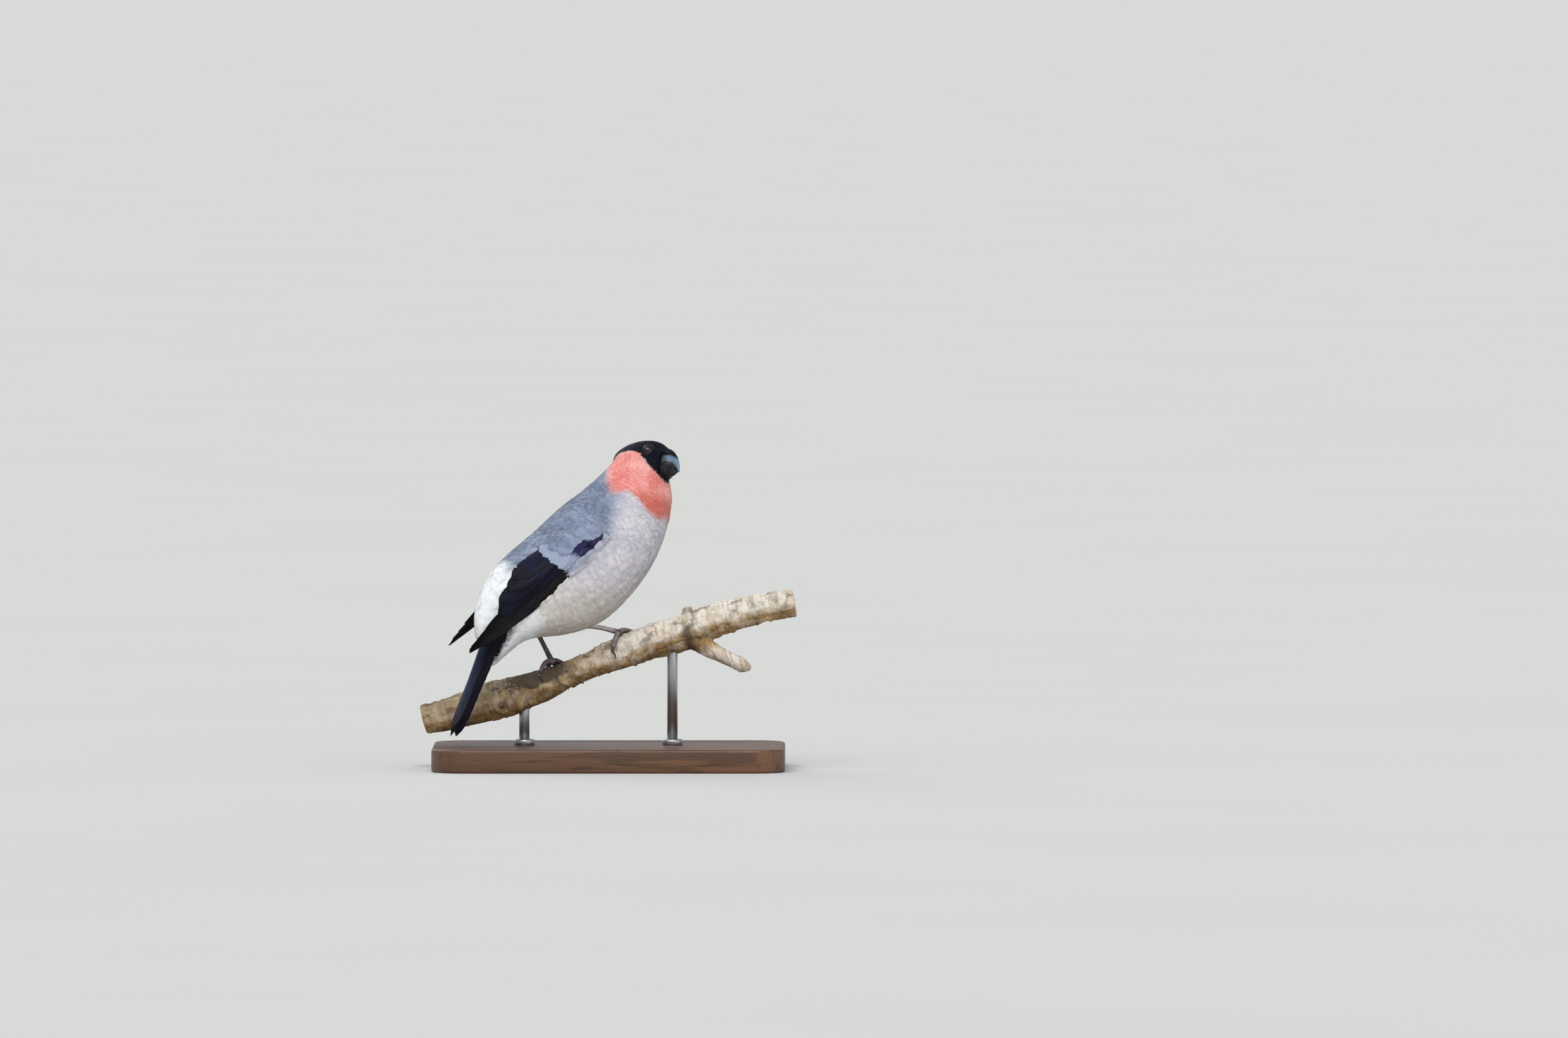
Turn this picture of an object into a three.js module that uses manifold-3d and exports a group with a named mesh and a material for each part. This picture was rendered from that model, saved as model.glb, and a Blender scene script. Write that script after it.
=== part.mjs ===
// A male bullfinch perched on a cut length of branch, held up by a plain display stand.
// Millimetres, +Z up. The origin is the centre of the stand's underside.
// The bird has a frame of its own: +X the way it faces, +Y to its left, +Z up.
import * as THREE from "three";
import { mergeVertices } from "three/addons/utils/BufferGeometryUtils.js";
import Module from "manifold-3d";

const wasm = await Module();
wasm.setup();

// Driving dimensions
const gap = 0.3; // between solids that touch
const birdTurn = THREE.MathUtils.degToRad(25); // the body faces right and a little away
const birdX = -9.3; // where the bird's frame stands along the branch
const tailLength = 67.6; // with the roots that the coverts hide
const featherThick = 0.55;

const stand = { length: 150, width: 88, thick: 10, corner: 14, bevel: 1.2, rodRadius: 2.2 };
const rodPlaces = { left: -36, right: 27 }; // along the branch

// Colours
const colour = {
  cap: 0x14151c, belly: 0xb9b3b4, pink: 0xd9736a, white: 0xeef0f2,
  wing: 0x1a1c28, bill: 0x23262b, leg: 0x5d4f4c, claw: 0x2c2626, eye: 0x0c0a09,
  bark: 0xa39480, wood: 0x6b4a2f, steel: 0x8c8f92,
};

const V = (x, y, z) => new THREE.Vector3(x, y, z);
const lerp = THREE.MathUtils.lerp;
const clamp = THREE.MathUtils.clamp;

// A smooth curve through a few points, and the same for plain numbers
const curve = (points) => new THREE.CatmullRomCurve3(points, false, "centripetal");
function track(keys) {
  // keys are [place, value] pairs in order; the result eases from one to the next
  return (place) => {
    const last = keys.length - 1;
    if (place <= keys[0][0]) return keys[0][1];
    if (place >= keys[last][0]) return keys[last][1];
    const i = keys.findIndex((key) => key[0] > place);
    const [a, b] = [keys[i - 1], keys[i]];
    const slope = (k) => {
      const [before, after] = [keys[Math.max(0, k - 1)], keys[Math.min(last, k + 1)]];
      return (after[1] - before[1]) / (after[0] - before[0]);
    };
    const span = b[0] - a[0];
    const s = (place - a[0]) / span;
    const [s2, s3] = [s * s, s * s * s];
    return (
      (2 * s3 - 3 * s2 + 1) * a[1] + (s3 - 2 * s2 + s) * span * slope(i - 1) +
      (3 * s2 - 2 * s3) * b[1] + (s3 - s2) * span * slope(i)
    );
  };
}

// Solids: a closed mesh with merged vertices becomes a solid, and a solid becomes a mesh
function solid(geometry) {
  const bare = geometry.clone();
  bare.deleteAttribute("normal");
  bare.deleteAttribute("uv");
  const merged = mergeVertices(bare, 1e-4);
  const [points, faces] = [merged.attributes.position.array, new Uint32Array(merged.index.array)];
  const mesh = () => new wasm.Mesh({ numProp: 3, vertProperties: points, triVerts: faces });
  let made = new wasm.Manifold(mesh());
  if (made.volume() < 0) {
    for (let i = 0; i < faces.length; i += 3) [faces[i], faces[i + 1]] = [faces[i + 1], faces[i]];
    made = new wasm.Manifold(mesh());
  }
  return made;
}

const join = (solids) => solids.reduce((all, next) => all.add(next));

// Only the largest closed surface stays
function largest(made) {
  return made.decompose().sort((a, b) => b.volume() - a.volume())[0];
}

function mesh(name, made, material) {
  const { vertProperties, triVerts, numProp, numVert } = largest(made).getMesh();
  const points = new Float32Array(numVert * 3);
  for (let i = 0; i < numVert; i++) {
    points.set(vertProperties.subarray(i * numProp, i * numProp + 3), i * 3);
  }
  const geometry = new THREE.BufferGeometry();
  geometry.setAttribute("position", new THREE.BufferAttribute(points, 3));
  geometry.setIndex(new THREE.BufferAttribute(new Uint32Array(triVerts), 1));
  geometry.computeVertexNormals();
  const piece = new THREE.Mesh(geometry, material);
  piece.name = name;
  return piece;
}

// A closed tube: the rings of a cylinder are carried to where pointAt puts them.
// t runs along it from 0 to 1, and side and up are places on the unit circle.
function loft(pointAt, around, along) {
  const shape = new THREE.CylinderGeometry(1, 1, 1, around, along);
  const position = shape.attributes.position;
  for (let i = 0; i < position.count; i++) {
    const p = pointAt(position.getY(i) + 0.5, position.getX(i), position.getZ(i));
    position.setXYZ(i, p.x, p.y, p.z);
  }
  return solid(shape);
}

// A round limb along a path, with a radius for each place on it
function limb(path, radiusAt, around, along) {
  const aside = V(0.31, 0.87, 0.38);
  return loft((t, side, up) => {
    const ahead = path.getTangent(t);
    const across = V(0, 0, 0).crossVectors(ahead, aside).normalize();
    const upward = V(0, 0, 0).crossVectors(across, ahead).normalize();
    const r = radiusAt(t);
    return path.getPoint(t).addScaledVector(across, side * r).addScaledVector(upward, up * r);
  }, around, along);
}

function ball(centre, radii, around, along, turn = new THREE.Quaternion()) {
  const shape = new THREE.SphereGeometry(1, around, along);
  shape.scale(radii.x, radii.y, radii.z).applyQuaternion(turn).translate(centre.x, centre.y, centre.z);
  return solid(shape);
}

// A thin closed sheet with triangles alike on both faces.
// u runs across it from -1 to 1, v along it from 0 to 1, and face is 1 on top and -1 below.
function sheet(pointAt, across, along) {
  const grid = new THREE.PlaneGeometry(2, 1, across, along);
  const flat = grid.attributes.position;
  const points = [];
  for (const face of [1, -1]) {
    for (let i = 0; i < flat.count; i++) {
      points.push(...pointAt(flat.getX(i), flat.getY(i) + 0.5, face).toArray());
    }
  }
  const top = [...grid.index.array];
  const under = top.map((_, i) => top[i - (i % 3) + 2 - (i % 3)] + flat.count);
  const row = across + 1;
  const edge = [];
  for (let i = 0; i < across; i++) edge.push(i);
  for (let j = 0; j < along; j++) edge.push(j * row + across);
  for (let i = across; i > 0; i--) edge.push(along * row + i);
  for (let j = along; j > 0; j--) edge.push(j * row);
  const rim = edge.flatMap((a, k) => {
    const b = edge[(k + 1) % edge.length];
    return [a, b, b + flat.count, a, b + flat.count, a + flat.count];
  });
  const shape = new THREE.BufferGeometry();
  shape.setAttribute("position", new THREE.Float32BufferAttribute(points, 3));
  shape.setIndex([...top, ...under, ...rim]);
  return solid(shape);
}

// Body: sections from the tips of the tail coverts to the inside of the head.
// Each has its centre in the bird's middle plane, the lean of the spine there in degrees,
// half the depth from back to belly, and half the width.
const bodySections = [
  { x: -45.6, z: 44.6, lean: 63, depth: 2.2, width: 2.6 },
  { x: -44.1, z: 54.0, lean: 63, depth: 8.8, width: 7.6 },
  { x: -40.0, z: 62.0, lean: 60, depth: 13.8, width: 11.4 },
  { x: -29.9, z: 69.6, lean: 50, depth: 20.7, width: 16.6 },
  { x: -18.8, z: 75.9, lean: 44, depth: 23.9, width: 20.0 },
  { x: -7.9, z: 82.5, lean: 42, depth: 25.0, width: 21.8 },
  { x: 5.6, z: 94.5, lean: 43, depth: 24.4, width: 21.9 },
  { x: 16.0, z: 105.5, lean: 48, depth: 21.4, width: 19.4 },
  { x: 23.6, z: 119.4, lean: 64, depth: 16.8, width: 15.0 },
  { x: 25.5, z: 129.5, lean: 72, depth: 11.5, width: 10.5 },
];
const backNarrow = 0.09; // the back is narrower than the belly by this share each way
const cuts = { rump: 0.27, neck: 0.83, reach: 90, crumb: 100 }; // places, slab's side, least volume kept
const at = (key) => track(bodySections.map((s, i) => [i / (bodySections.length - 1), s[key]]));
const bodyTrack = { x: at("x"), z: at("z"), lean: at("lean"), depth: at("depth"), width: at("width") };

function bodyPoint(t, side, up, grow) {
  const lean = THREE.MathUtils.degToRad(bodyTrack.lean(t));
  const depth = bodyTrack.depth(t) + grow;
  const width = (bodyTrack.width(t) + grow) * (1 - backNarrow * up);
  return V(
    bodyTrack.x(t) - Math.sin(lean) * depth * up,
    -side * width,
    bodyTrack.z(t) + Math.cos(lean) * depth * up,
  );
}
const body = (grow = 0) => loft((t, side, up) => bodyPoint(t, side, up, grow), 26, 20);

// A slab across the spine at place t, thick enough to part the body there
function spineSlab(t, thick) {
  const lean = THREE.MathUtils.degToRad(bodyTrack.lean(t));
  const slab = new THREE.BoxGeometry(thick, cuts.reach, cuts.reach);
  slab.rotateY(-lean).translate(bodyTrack.x(t), 0, bodyTrack.z(t));
  return solid(slab);
}

// Head: its own frame has a forward, r to the bird's right and u up from the middle of the skull
const head = { x: 26.9, z: 130.4, turn: 53, nod: 0, tilt: 17 };
const headFrame = (() => {
  const [turn, nod, tilt] = [head.turn, head.nod, head.tilt].map(THREE.MathUtils.degToRad);
  const forward = V(Math.cos(turn), -Math.sin(turn), 0);
  const right = V(-Math.sin(turn), -Math.cos(turn), 0);
  const up = V(0, 0, Math.cos(nod)).addScaledVector(forward, Math.sin(nod));
  forward.multiplyScalar(Math.cos(nod)).add(V(0, 0, -Math.sin(nod)));
  const tilted = up.clone().multiplyScalar(Math.cos(tilt)).addScaledVector(right, -Math.sin(tilt));
  right.multiplyScalar(Math.cos(tilt)).addScaledVector(up, Math.sin(tilt));
  return { forward, right, up: tilted, centre: V(head.x, 0, head.z) };
})();
const inHead = (a, r, u) =>
  headFrame.centre.clone()
    .addScaledVector(headFrame.forward, a)
    .addScaledVector(headFrame.right, r)
    .addScaledVector(headFrame.up, u);
const headTurn = new THREE.Quaternion().setFromRotationMatrix(
  new THREE.Matrix4().makeBasis(
    headFrame.forward, headFrame.right.clone().negate(), headFrame.up,
  ),
);

// Sections of the skull with its feathers: place forward, half width, height above and below
const skull = {
  width: track([
    [-14.4, 1.2], [-12.2, 6.4], [-7.5, 10.8], [-1, 12.2], [5, 10.4], [8.4, 7.7], [10.6, 5.4], [11.6, 3.2],
  ]),
  above: track([
    [-14.4, 0.8], [-12.2, 3.4], [-7.5, 6.8], [-1, 9.1], [5, 9.2], [8.4, 7.9], [10.8, 5.9], [11.6, 4.2],
  ]),
  below: track([
    [-14.4, 1.4], [-12.2, 7.0], [-7.5, 11.4], [-1, 13.0], [5, 12.2], [8.4, 10.4], [10.6, 8.6], [11.6, 5.6],
  ]),
};
const skullEnds = [-14.4, 11.6];
const crownNarrow = 0.17; // the crown is narrower than the cheeks
function skullShape(grow = 0) {
  return loft((t, side, up) => {
    const place = lerp(...skullEnds, t);
    const width = (skull.width(place) + grow) * (1 - crownNarrow * Math.max(0, up) ** 1.2);
    const height = (up > 0 ? skull.above(place) : skull.below(place)) + grow;
    return inHead(place + grow * (2 * t - 1), side * width, up * height);
  }, 24, 16);
}
// Feathers of the forehead and chin reach a little over the bill's base
const tufts = [
  { a: 9.2, u: 3.6, radii: V(3.9, 4.9, 2.9) },
  { a: 8.2, u: -7.0, radii: V(4.6, 5.4, 3.6) },
];
const headCore = (grow = 0) => join([
  skullShape(grow),
  ...tufts.map(({ a, u, radii }) =>
    ball(inHead(a, 0, u), radii.clone().addScalar(grow), 14, 8, headTurn)),
]);

const eye = { a: 4.9, r: 6.7, u: 2.7, radius: 3.3, ahead: 0.2 };
const lidSize = { ring: 2.55, thick: 0.5, out: 2.35 };
const eyeCentre = (side) => inHead(eye.a, side * eye.r, eye.u);
const eyeBall = (side, grow = 0) => {
  const r = eye.radius + grow;
  return ball(eyeCentre(side), V(r, r, r), 12, 9, headTurn);
};
function lid(side) {
  const look = headFrame.right.clone().multiplyScalar(side).addScaledVector(headFrame.forward, eye.ahead);
  look.normalize();
  const ring = new THREE.TorusGeometry(lidSize.ring, lidSize.thick, 5, 14);
  ring.applyQuaternion(new THREE.Quaternion().setFromUnitVectors(V(0, 0, 1), look));
  const place = eyeCentre(side).addScaledVector(look, lidSize.out);
  return solid(ring.translate(place.x, place.y, place.z));
}

// Bill: one short, swollen cone whose mouth line parts the two mandibles
const billEnds = [6, 17.6];
const bill = {
  width: track([[6, 5.0], [9, 4.8], [11.5, 4.4], [14, 3.4], [16, 2.0], [17, 0.9], [17.6, 0.25]]),
  top: track([[6, 5.2], [9, 5.2], [11.5, 4.8], [14, 3.5], [16, 1.2], [17.1, -1.6], [17.6, -3.8]]),
  foot: track([[6, -7.7], [9, -7.7], [11.5, -7.3], [14, -6.4], [16, -5.2], [17.1, -4.5], [17.6, -4.1]]),
};
function billShape() {
  return loft((t, side, up) => {
    const a = lerp(...billEnds, t);
    const [top, foot] = [bill.top(a), bill.foot(a)];
    const middle = lerp(foot, top, 0.5);
    return inHead(a, side * bill.width(a), middle + up * (top - foot) * 0.5);
  }, 16, 11);
}
// The mouth line rises from the gape, then runs down to the hooked tip
const mouthLine = [
  [4, -4.8], [9.3, -2.8], [11.8, -1.4], [14, -1.3], [15.7, -2.4], [16.7, -3.7], [17.1, -4.8], [17.4, -7],
];
const mouthReach = 9; // to each side, well past the bill
function mouthCut() {
  const line = new THREE.SplineCurve(mouthLine.map(([a, u]) => new THREE.Vector2(a, u)));
  const half = gap / 2;
  return sheet((u, v, face) => {
    const p = line.getPoint(v);
    const ahead = line.getTangent(v);
    return inHead(p.x - ahead.y * half * face, u * mouthReach, p.y + ahead.x * half * face);
  }, 1, 19);
}
const nostrilPlace = { a: 12.3, r: 2.7, u: 3.2, radii: V(0.8, 0.5, 0.5) };
const nostril = (side) => {
  const { a, r, u, radii } = nostrilPlace;
  return ball(inHead(a, side * r, u), radii, 10, 6, headTurn);
};

// Folded wing: a curved sheet on the bird's side. p runs from the bend to the tip, q up across it,
// and h out from it. Feathers are laid out on that sheet.
const wings = {
  right: { side: -1, bend: V(4, 0, 101.8), slope: 38.4, spread: 1 },
  left: { side: 1, bend: V(5.5, 0, 102.6), slope: 36.6, spread: 0.6 },
};
const wingOut = track([[-6, 16.5], [0, 18.8], [20, 20.0], [40, 17.8], [60, 13.6], [83, 10.4]]);
const wingLean = track([[-6, 16], [20, 20], [45, 18], [83, 8]]); // degrees, towards the back
const wingRound = track([[0, 22], [40, 25], [60, 38], [83, 70]]);
function wingPoint({ side, bend, slope, spread }, p, q, h) {
  const down = THREE.MathUtils.degToRad(slope);
  const lean = THREE.MathUtils.degToRad(wingLean(p));
  const turn = lean + (q * spread) / wingRound(p);
  const across = wingRound(p) * (Math.sin(turn) - Math.sin(lean)) + h * Math.sin(turn);
  const out = wingOut(p) - wingRound(p) * (Math.cos(lean) - Math.cos(turn)) + h * Math.cos(turn);
  return V(
    bend.x - p * Math.cos(down) - across * Math.sin(down),
    side * out,
    bend.z - p * Math.sin(down) + across * Math.cos(down),
  );
}

// A feather's half width at v along it, as a share, with a round or a narrow tip
const roundTip = (v) => Math.min(1, 0.55 + v) * Math.sqrt(1 - 0.97 * clamp((v - 0.7) / 0.3, 0, 1) ** 2.4);
const narrowTip = (v) => Math.min(1, 0.7 + v) * (1 - 0.88 * clamp((v - 0.5) / 0.5, 0, 1) ** 1.8);

// One vane on the wing's sheet from its root to its tip, each a place [p, q, h]
const vaneArch = 0.3; // its edges lie lower than its shaft
function wingVane(wing, root, tip, { half, form, across, steps }) {
  return sheet((u, v, face) => {
    const [p, q, h] = root.map((value, i) => lerp(value, tip[i], v));
    const thick = featherThick * (v > 0.99 ? 0.5 : 1);
    return wingPoint(wing, p, q + u * half * form(v), h - vaneArch * u * u + (face * thick) / 2);
  }, across, steps);
}

// Each row runs from its lowest feather to its highest. The roots and the tips give the [p, q, h] of
// the first and the last of them, and bunch draws the tips after the first together.
const wingRows = [
  { name: "primaries", across: 2, count: 7, half: 3.4, form: narrowTip, steps: 4, bunch: 1.6,
    roots: [[25, -1.3, 0.5], [27, 4.5, 1.9]], tips: [[81.5, -0.6, 0.3], [63, 3.6, 1.7]] },
  { name: "secondaries", across: 2, count: 4, half: 3.7, form: roundTip, steps: 3, bunch: 1,
    roots: [[25, 3.8, 2.2], [27, 9.2, 3.0]], tips: [[61.5, 4.0, 2.0], [58.5, 7.2, 2.6]] },
  { name: "tertials", across: 2, count: 3, half: 4.3, form: roundTip, steps: 3, bunch: 1,
    roots: [[25, 8.3, 3.2], [25, 12.4, 4.0]], tips: [[58, 6.6, 2.9], [46, 11.2, 3.7]] },
  { name: "primary coverts", across: 1, count: 3, half: 2.0, form: narrowTip, steps: 2, bunch: 1,
    roots: [[8, -0.6, 2.3], [10, 2.4, 2.9]], tips: [[29, -1.6, 2.3], [26, 2.4, 2.9]] },
  { name: "alula", across: 1, count: 2, half: 1.7, form: narrowTip, steps: 2, bunch: 1,
    roots: [[2, -0.4, 2.9], [3, 1.8, 3.3]], tips: [[17.5, 0.2, 3.0], [15, 2.6, 3.4]] },
  { name: "greater coverts", across: 1, count: 5, half: 3.0, form: roundTip, steps: 2, bunch: 1,
    roots: [[13, 4.2, 3.3], [21, 15.0, 4.3]], tips: [[29, 3.4, 3.4], [37.5, 14.4, 4.4]] },
  { name: "median coverts", across: 1, count: 4, half: 3.1, form: roundTip, steps: 2, bunch: 1,
    roots: [[5, 4.6, 3.7], [11, 14.8, 4.6]], tips: [[18, 5.2, 4.1], [25, 15.0, 4.9]] },
];
// The arm and the small feathers over it, which the longer feathers grow from
const arm = { start: -5, end: 44, middle: 7.9, half: 9.2, inner: 3.4, outer: 4.1, thinFrom: 0.45, thin: 1.9 };
const armEnds = 0.06; // how blunt the arm's two ends are
function armSolid(wing) {
  return loft((t, side, up) => {
    const swell = Math.sin(Math.PI * lerp(armEnds, 1 - armEnds, t)) ** 0.6;
    const thinning = clamp((t - arm.thinFrom) / (1 - arm.thinFrom), 0, 1);
    const h = up * (up > 0 ? lerp(arm.outer, arm.thin, thinning) : arm.inner) * swell;
    return wingPoint(wing, lerp(arm.start, arm.end, t), arm.middle + side * arm.half * swell, h);
  }, 12, 7);
}
function wingSolid(wing) {
  const vanes = wingRows.flatMap((row) => Array.from({ length: row.count }, (_, i) => {
    const s = i / (row.count - 1);
    const root = row.roots[0].map((value, k) => lerp(value, row.roots[1][k], s));
    const tip = row.tips[0].map((value, k) => lerp(value, row.tips[1][k], k ? s : s ** row.bunch));
    return wingVane(wing, root, tip, row);
  }));
  return join([armSolid(wing), ...vanes]);
}

// Tail: twelve feathers in a closed fan, the middle pair on top
const tail = { root: V(-35.9, 0, 77.3), slope: 65.5, pairs: 6, half: 4.2, layer: 0.32, notch: 3.2 };
const tailRoof = track([[0, 0.07], [0.2, 0.1], [0.4, 0.11], [0.67, 0.04], [1, 0.018]]); // the sides droop
const tailRise = track([[0, 0.8], [0.4, 1.2], [0.7, 0], [1, 0]]); // and the middle stands up
const tailForm = (v) =>
  (0.62 + 0.38 * Math.min(1, v * 1.6)) * Math.sqrt(1 - 0.97 * clamp((v - 0.86) / 0.14, 0, 1) ** 2);
function tailPoint(p, q, h) {
  const down = THREE.MathUtils.degToRad(tail.slope);
  return V(
    tail.root.x - p * Math.cos(down) - h * Math.sin(down), q,
    tail.root.z - p * Math.sin(down) + h * Math.cos(down),
  );
}
function tailSolid() {
  const vanes = [];
  for (let pair = 0; pair < tail.pairs; pair++) {
    for (const side of [-1, 1]) {
      const length = tailLength - tail.notch * (1 - pair / (tail.pairs - 1));
      const layer = -tail.layer * (pair + (side > 0 ? 0.4 : 0));
      vanes.push(sheet((u, v, face) => {
        const middle = side * lerp(0.5 + 0.28 * pair, 0.7 + 0.44 * pair, v);
        const q = middle + u * tail.half * tailForm(v);
        const h = layer + tailRise(v) - tailRoof(v) * q * q;
        return tailPoint(v * length, q, h + (face * featherThick) / 2);
      }, 2, 6));
    }
  }
  return join(vanes);
}

// Branch: its middle line from the cut end on the left, with a radius at each point
const branchLine = [
  [-79, 0.5, 20.4, 6.0], [-62, 1.2, 25.1, 7.2], [-47.3, 0.8, 29.1, 8.4], [-36.1, 0, 32.5, 7.6],
  [-22.5, -0.6, 38.1, 6.1], [-14.1, -0.6, 41.5, 5.7], [-5.6, -0.2, 45.1, 5.9], [5.6, 0.2, 49.4, 6.8],
  [16.9, 0.6, 53.6, 7.3], [33.8, 0.4, 58.6, 7.7], [49.6, -0.4, 64.3, 7.0], [63.1, -0.8, 68.0, 6.2],
  [79, -0.6, 70.8, 5.9],
];
const branchPath = curve(branchLine.map(([x, y, z]) => V(x, y, z)));
const branchRadius = track(branchLine.map((p, i) => [i / (branchLine.length - 1), p[3]]));
// The share of the way along the branch at which its middle line reaches x
function branchPlace(x) {
  let [low, high] = [0, 1];
  for (let i = 0; i < 24; i++) {
    const middle = (low + high) / 2;
    if (branchPath.getPoint(middle).x < x) low = middle;
    else high = middle;
  }
  return low;
}
// Waves of the bark: height, and how often it goes round and along
const barkWaves = [[0.22, 3, 19], [0.2, 5, -31], [0.18, 1, 47]];
const barkWave = (t, angle) =>
  barkWaves.reduce((sum, [height, around, along]) => sum + height * Math.sin(around * angle + along * t), 0);
const cutSlant = 0.25;
function branchShape(grow = 0) {
  return loft((t, side, up) => {
    const ahead = branchPath.getTangent(t);
    const across = V(0, -1, 0);
    const upward = V(0, 0, 0).crossVectors(across, ahead).normalize();
    const wave = side || up ? barkWave(t, Math.atan2(up, side)) : 0;
    const r = branchRadius(t) + grow + wave;
    return branchPath.getPoint(t).addScaledVector(across, side * r).addScaledVector(upward, up * r)
      .addScaledVector(ahead, (t < 0.01 ? -1 : t > 0.99 ? 1 : 0) * (grow + cutSlant * side));
  }, 16, 28);
}
const twigStub = curve([V(33, -1, 57), V(44, -3, 50.4), V(53, -3.4, 45.8), V(60.6, -3.2, 42.6)]);
const twigRadius = track([[0, 4.9], [0.3, 3.9], [0.55, 3.2], [0.8, 3.1], [0.95, 2.7], [1, 1.2]]);
const knob = { place: V(33.6, 0, 66.4), radii: V(3, 3, 3.4) };
const branch = (grow = 0) => join([
  branchShape(grow),
  limb(twigStub, (t) => twigRadius(t) + grow, 10, 7),
  ball(knob.place, knob.radii.clone().addScalar(grow), 8, 6),
]);

// Feet: a toe wraps round the branch. turn is its way round from the top in degrees, positive to
// the far side, drift is how far its tip lies along the branch, and lift is its height over the bark.
const toes = {
  right: [
    { name: "inner", turn: 84, drift: -2.6, claw: 34, arch: 0 },
    { name: "middle", turn: 100, drift: 4.6, claw: 44, arch: 0 },
    { name: "outer", turn: 84, drift: 8.4, claw: 32, arch: 0 },
    { name: "hind", turn: -64, drift: -4.2, claw: -36, arch: 0.3 },
  ],
  left: [
    { name: "inner", turn: 88, drift: 6.2, claw: 36, arch: 0 },
    { name: "middle", turn: 106, drift: 1.6, claw: 44, arch: 0 },
    { name: "outer", turn: 86, drift: -4.8, claw: 34, arch: 0 },
    { name: "hind", turn: -44, drift: -5.4, claw: -42, arch: 1.3 },
  ],
};
const toeRadius = track([[0, 1.15], [0.5, 1.0], [1, 0.85]]);
const clawRadius = track([[0, 0.8], [0.5, 0.5], [1, 0.14]]);
const toeLift = gap + 0.95;
const knuckles = { swell: 0.08, count: 3 };

// A place on the branch: x along it, turn degrees round it and lift over its bark
function onBranch(x, turn, lift) {
  const place = branchPlace(x);
  const upward = V(0, 0, 0).crossVectors(V(0, -1, 0), branchPath.getTangent(place)).normalize();
  const angle = THREE.MathUtils.degToRad(turn);
  const r = branchRadius(place) + lift;
  return branchPath.getPoint(place)
    .addScaledVector(upward, Math.cos(angle) * r)
    .addScaledVector(V(0, 1, 0), Math.sin(angle) * r);
}
function toePath({ x, turn }, toe) {
  return curve([0, 0.2, 0.4, 0.6, 0.8, 1].map((s) => {
    const lift = toeLift + 0.7 * (1 - s) ** 2 + toe.arch * Math.sin(Math.PI * s);
    return onBranch(x + toe.drift * s, lerp(turn, toe.turn, s), lift);
  }));
}
function clawPath(foot, toe) {
  const path = toePath(foot, toe);
  const base = (along) => path.getPoint(1).addScaledVector(path.getTangent(1), along);
  const over = (s, lift) =>
    onBranch(foot.x + toe.drift * (1 + 0.12 * s), toe.turn + toe.claw * s, toeLift + lift);
  return curve([base(gap), base(gap + 0.9), over(0.6, 1.2), over(1, 0.3)]);
}

// Legs: hip and heel are hidden in the belly's feathers, which also cover a share of the shank.
// A foot stands at x along the branch, turned round it a little.
const legs = {
  right: { hip: V(-12, -6.0, 69), heel: V(-11.0, -8.2, 61.4), covered: 0.27, foot: { x: 7.3, turn: -12 } },
  left: { hip: V(-29, 2.6, 70), heel: V(-33.0, 0.6, 62.2), covered: 0.3, foot: { x: -21.4, turn: -5 } },
};
for (const leg of Object.values(legs)) leg.joint = onBranch(leg.foot.x, leg.foot.turn, toeLift + 0.7);
const shankRadius = (t) => 0.95 * (1 + 0.25 * (2 * t - 1) ** 2);
const tuftRadius = track([[0, 6.5], [0.5, 4.2], [1, 1.8]]);

function tuft({ hip, heel, joint, covered }, grow = 0) {
  const end = heel.clone().lerp(joint, covered);
  end.addScaledVector(joint.clone().sub(heel).normalize(), grow);
  const path = curve([hip, heel.clone().lerp(hip, 0.35), end]);
  return limb(path, (t) => tuftRadius(t) + grow, 10, 6);
}
const shankBow = V(0, 0, 0.4);
function shank({ heel, joint }) {
  const bow = heel.clone().lerp(joint, 0.5).add(shankBow);
  return limb(curve([heel, bow, joint.clone().lerp(heel, 0.05)]), shankRadius, 8, 5);
}
const sole = { drop: V(0, 0, -0.3), radii: V(1.8, 1.8, 1.5) };
const pad = ({ joint }, grow = 0) =>
  ball(joint.clone().add(sole.drop), sole.radii.clone().addScalar(grow), 10, 8);
function toeSolid(foot, toe, grow = 0) {
  const knuckle = (t) => 1 + knuckles.swell * Math.cos(2 * Math.PI * knuckles.count * t);
  return limb(toePath(foot, toe), (t) => toeRadius(t) * knuckle(t) + grow, 7, 7);
}

// Stand
function baseSolid() {
  const { length, width, thick, corner, bevel } = stand;
  const [x, y] = [length / 2 - bevel, width / 2 - bevel];
  const r = corner - bevel;
  const outline = new THREE.Shape();
  outline.moveTo(-x + r, -y).lineTo(x - r, -y).absarc(x - r, -y + r, r, -Math.PI / 2, 0);
  outline.lineTo(x, y - r).absarc(x - r, y - r, r, 0, Math.PI / 2);
  outline.lineTo(-x + r, y).absarc(-x + r, y - r, r, Math.PI / 2, Math.PI);
  outline.lineTo(-x, -y + r).absarc(-x + r, -y + r, r, Math.PI, 1.5 * Math.PI);
  const plate = new THREE.ExtrudeGeometry(outline, {
    depth: thick - 2 * bevel, bevelSize: bevel, bevelThickness: bevel, bevelSegments: 2, curveSegments: 6,
  });
  return solid(plate.translate(0, 0, bevel));
}
function rodSolid(x) {
  const top = branchPath.getPoint(branchPlace(x)).z;
  const height = top - stand.thick - gap;
  const rod = new THREE.CylinderGeometry(stand.rodRadius, stand.rodRadius, height, 14);
  rod.rotateX(Math.PI / 2).translate(x, 0, stand.thick + gap + height / 2);
  return solid(rod);
}

// Everything on the bird is made in its own frame, then turned on to the branch
const toPart = new THREE.Matrix4().makeRotationZ(birdTurn).setPosition(birdX, 0, 0);
const placed = (made) => made.transform(toPart.elements);

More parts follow.
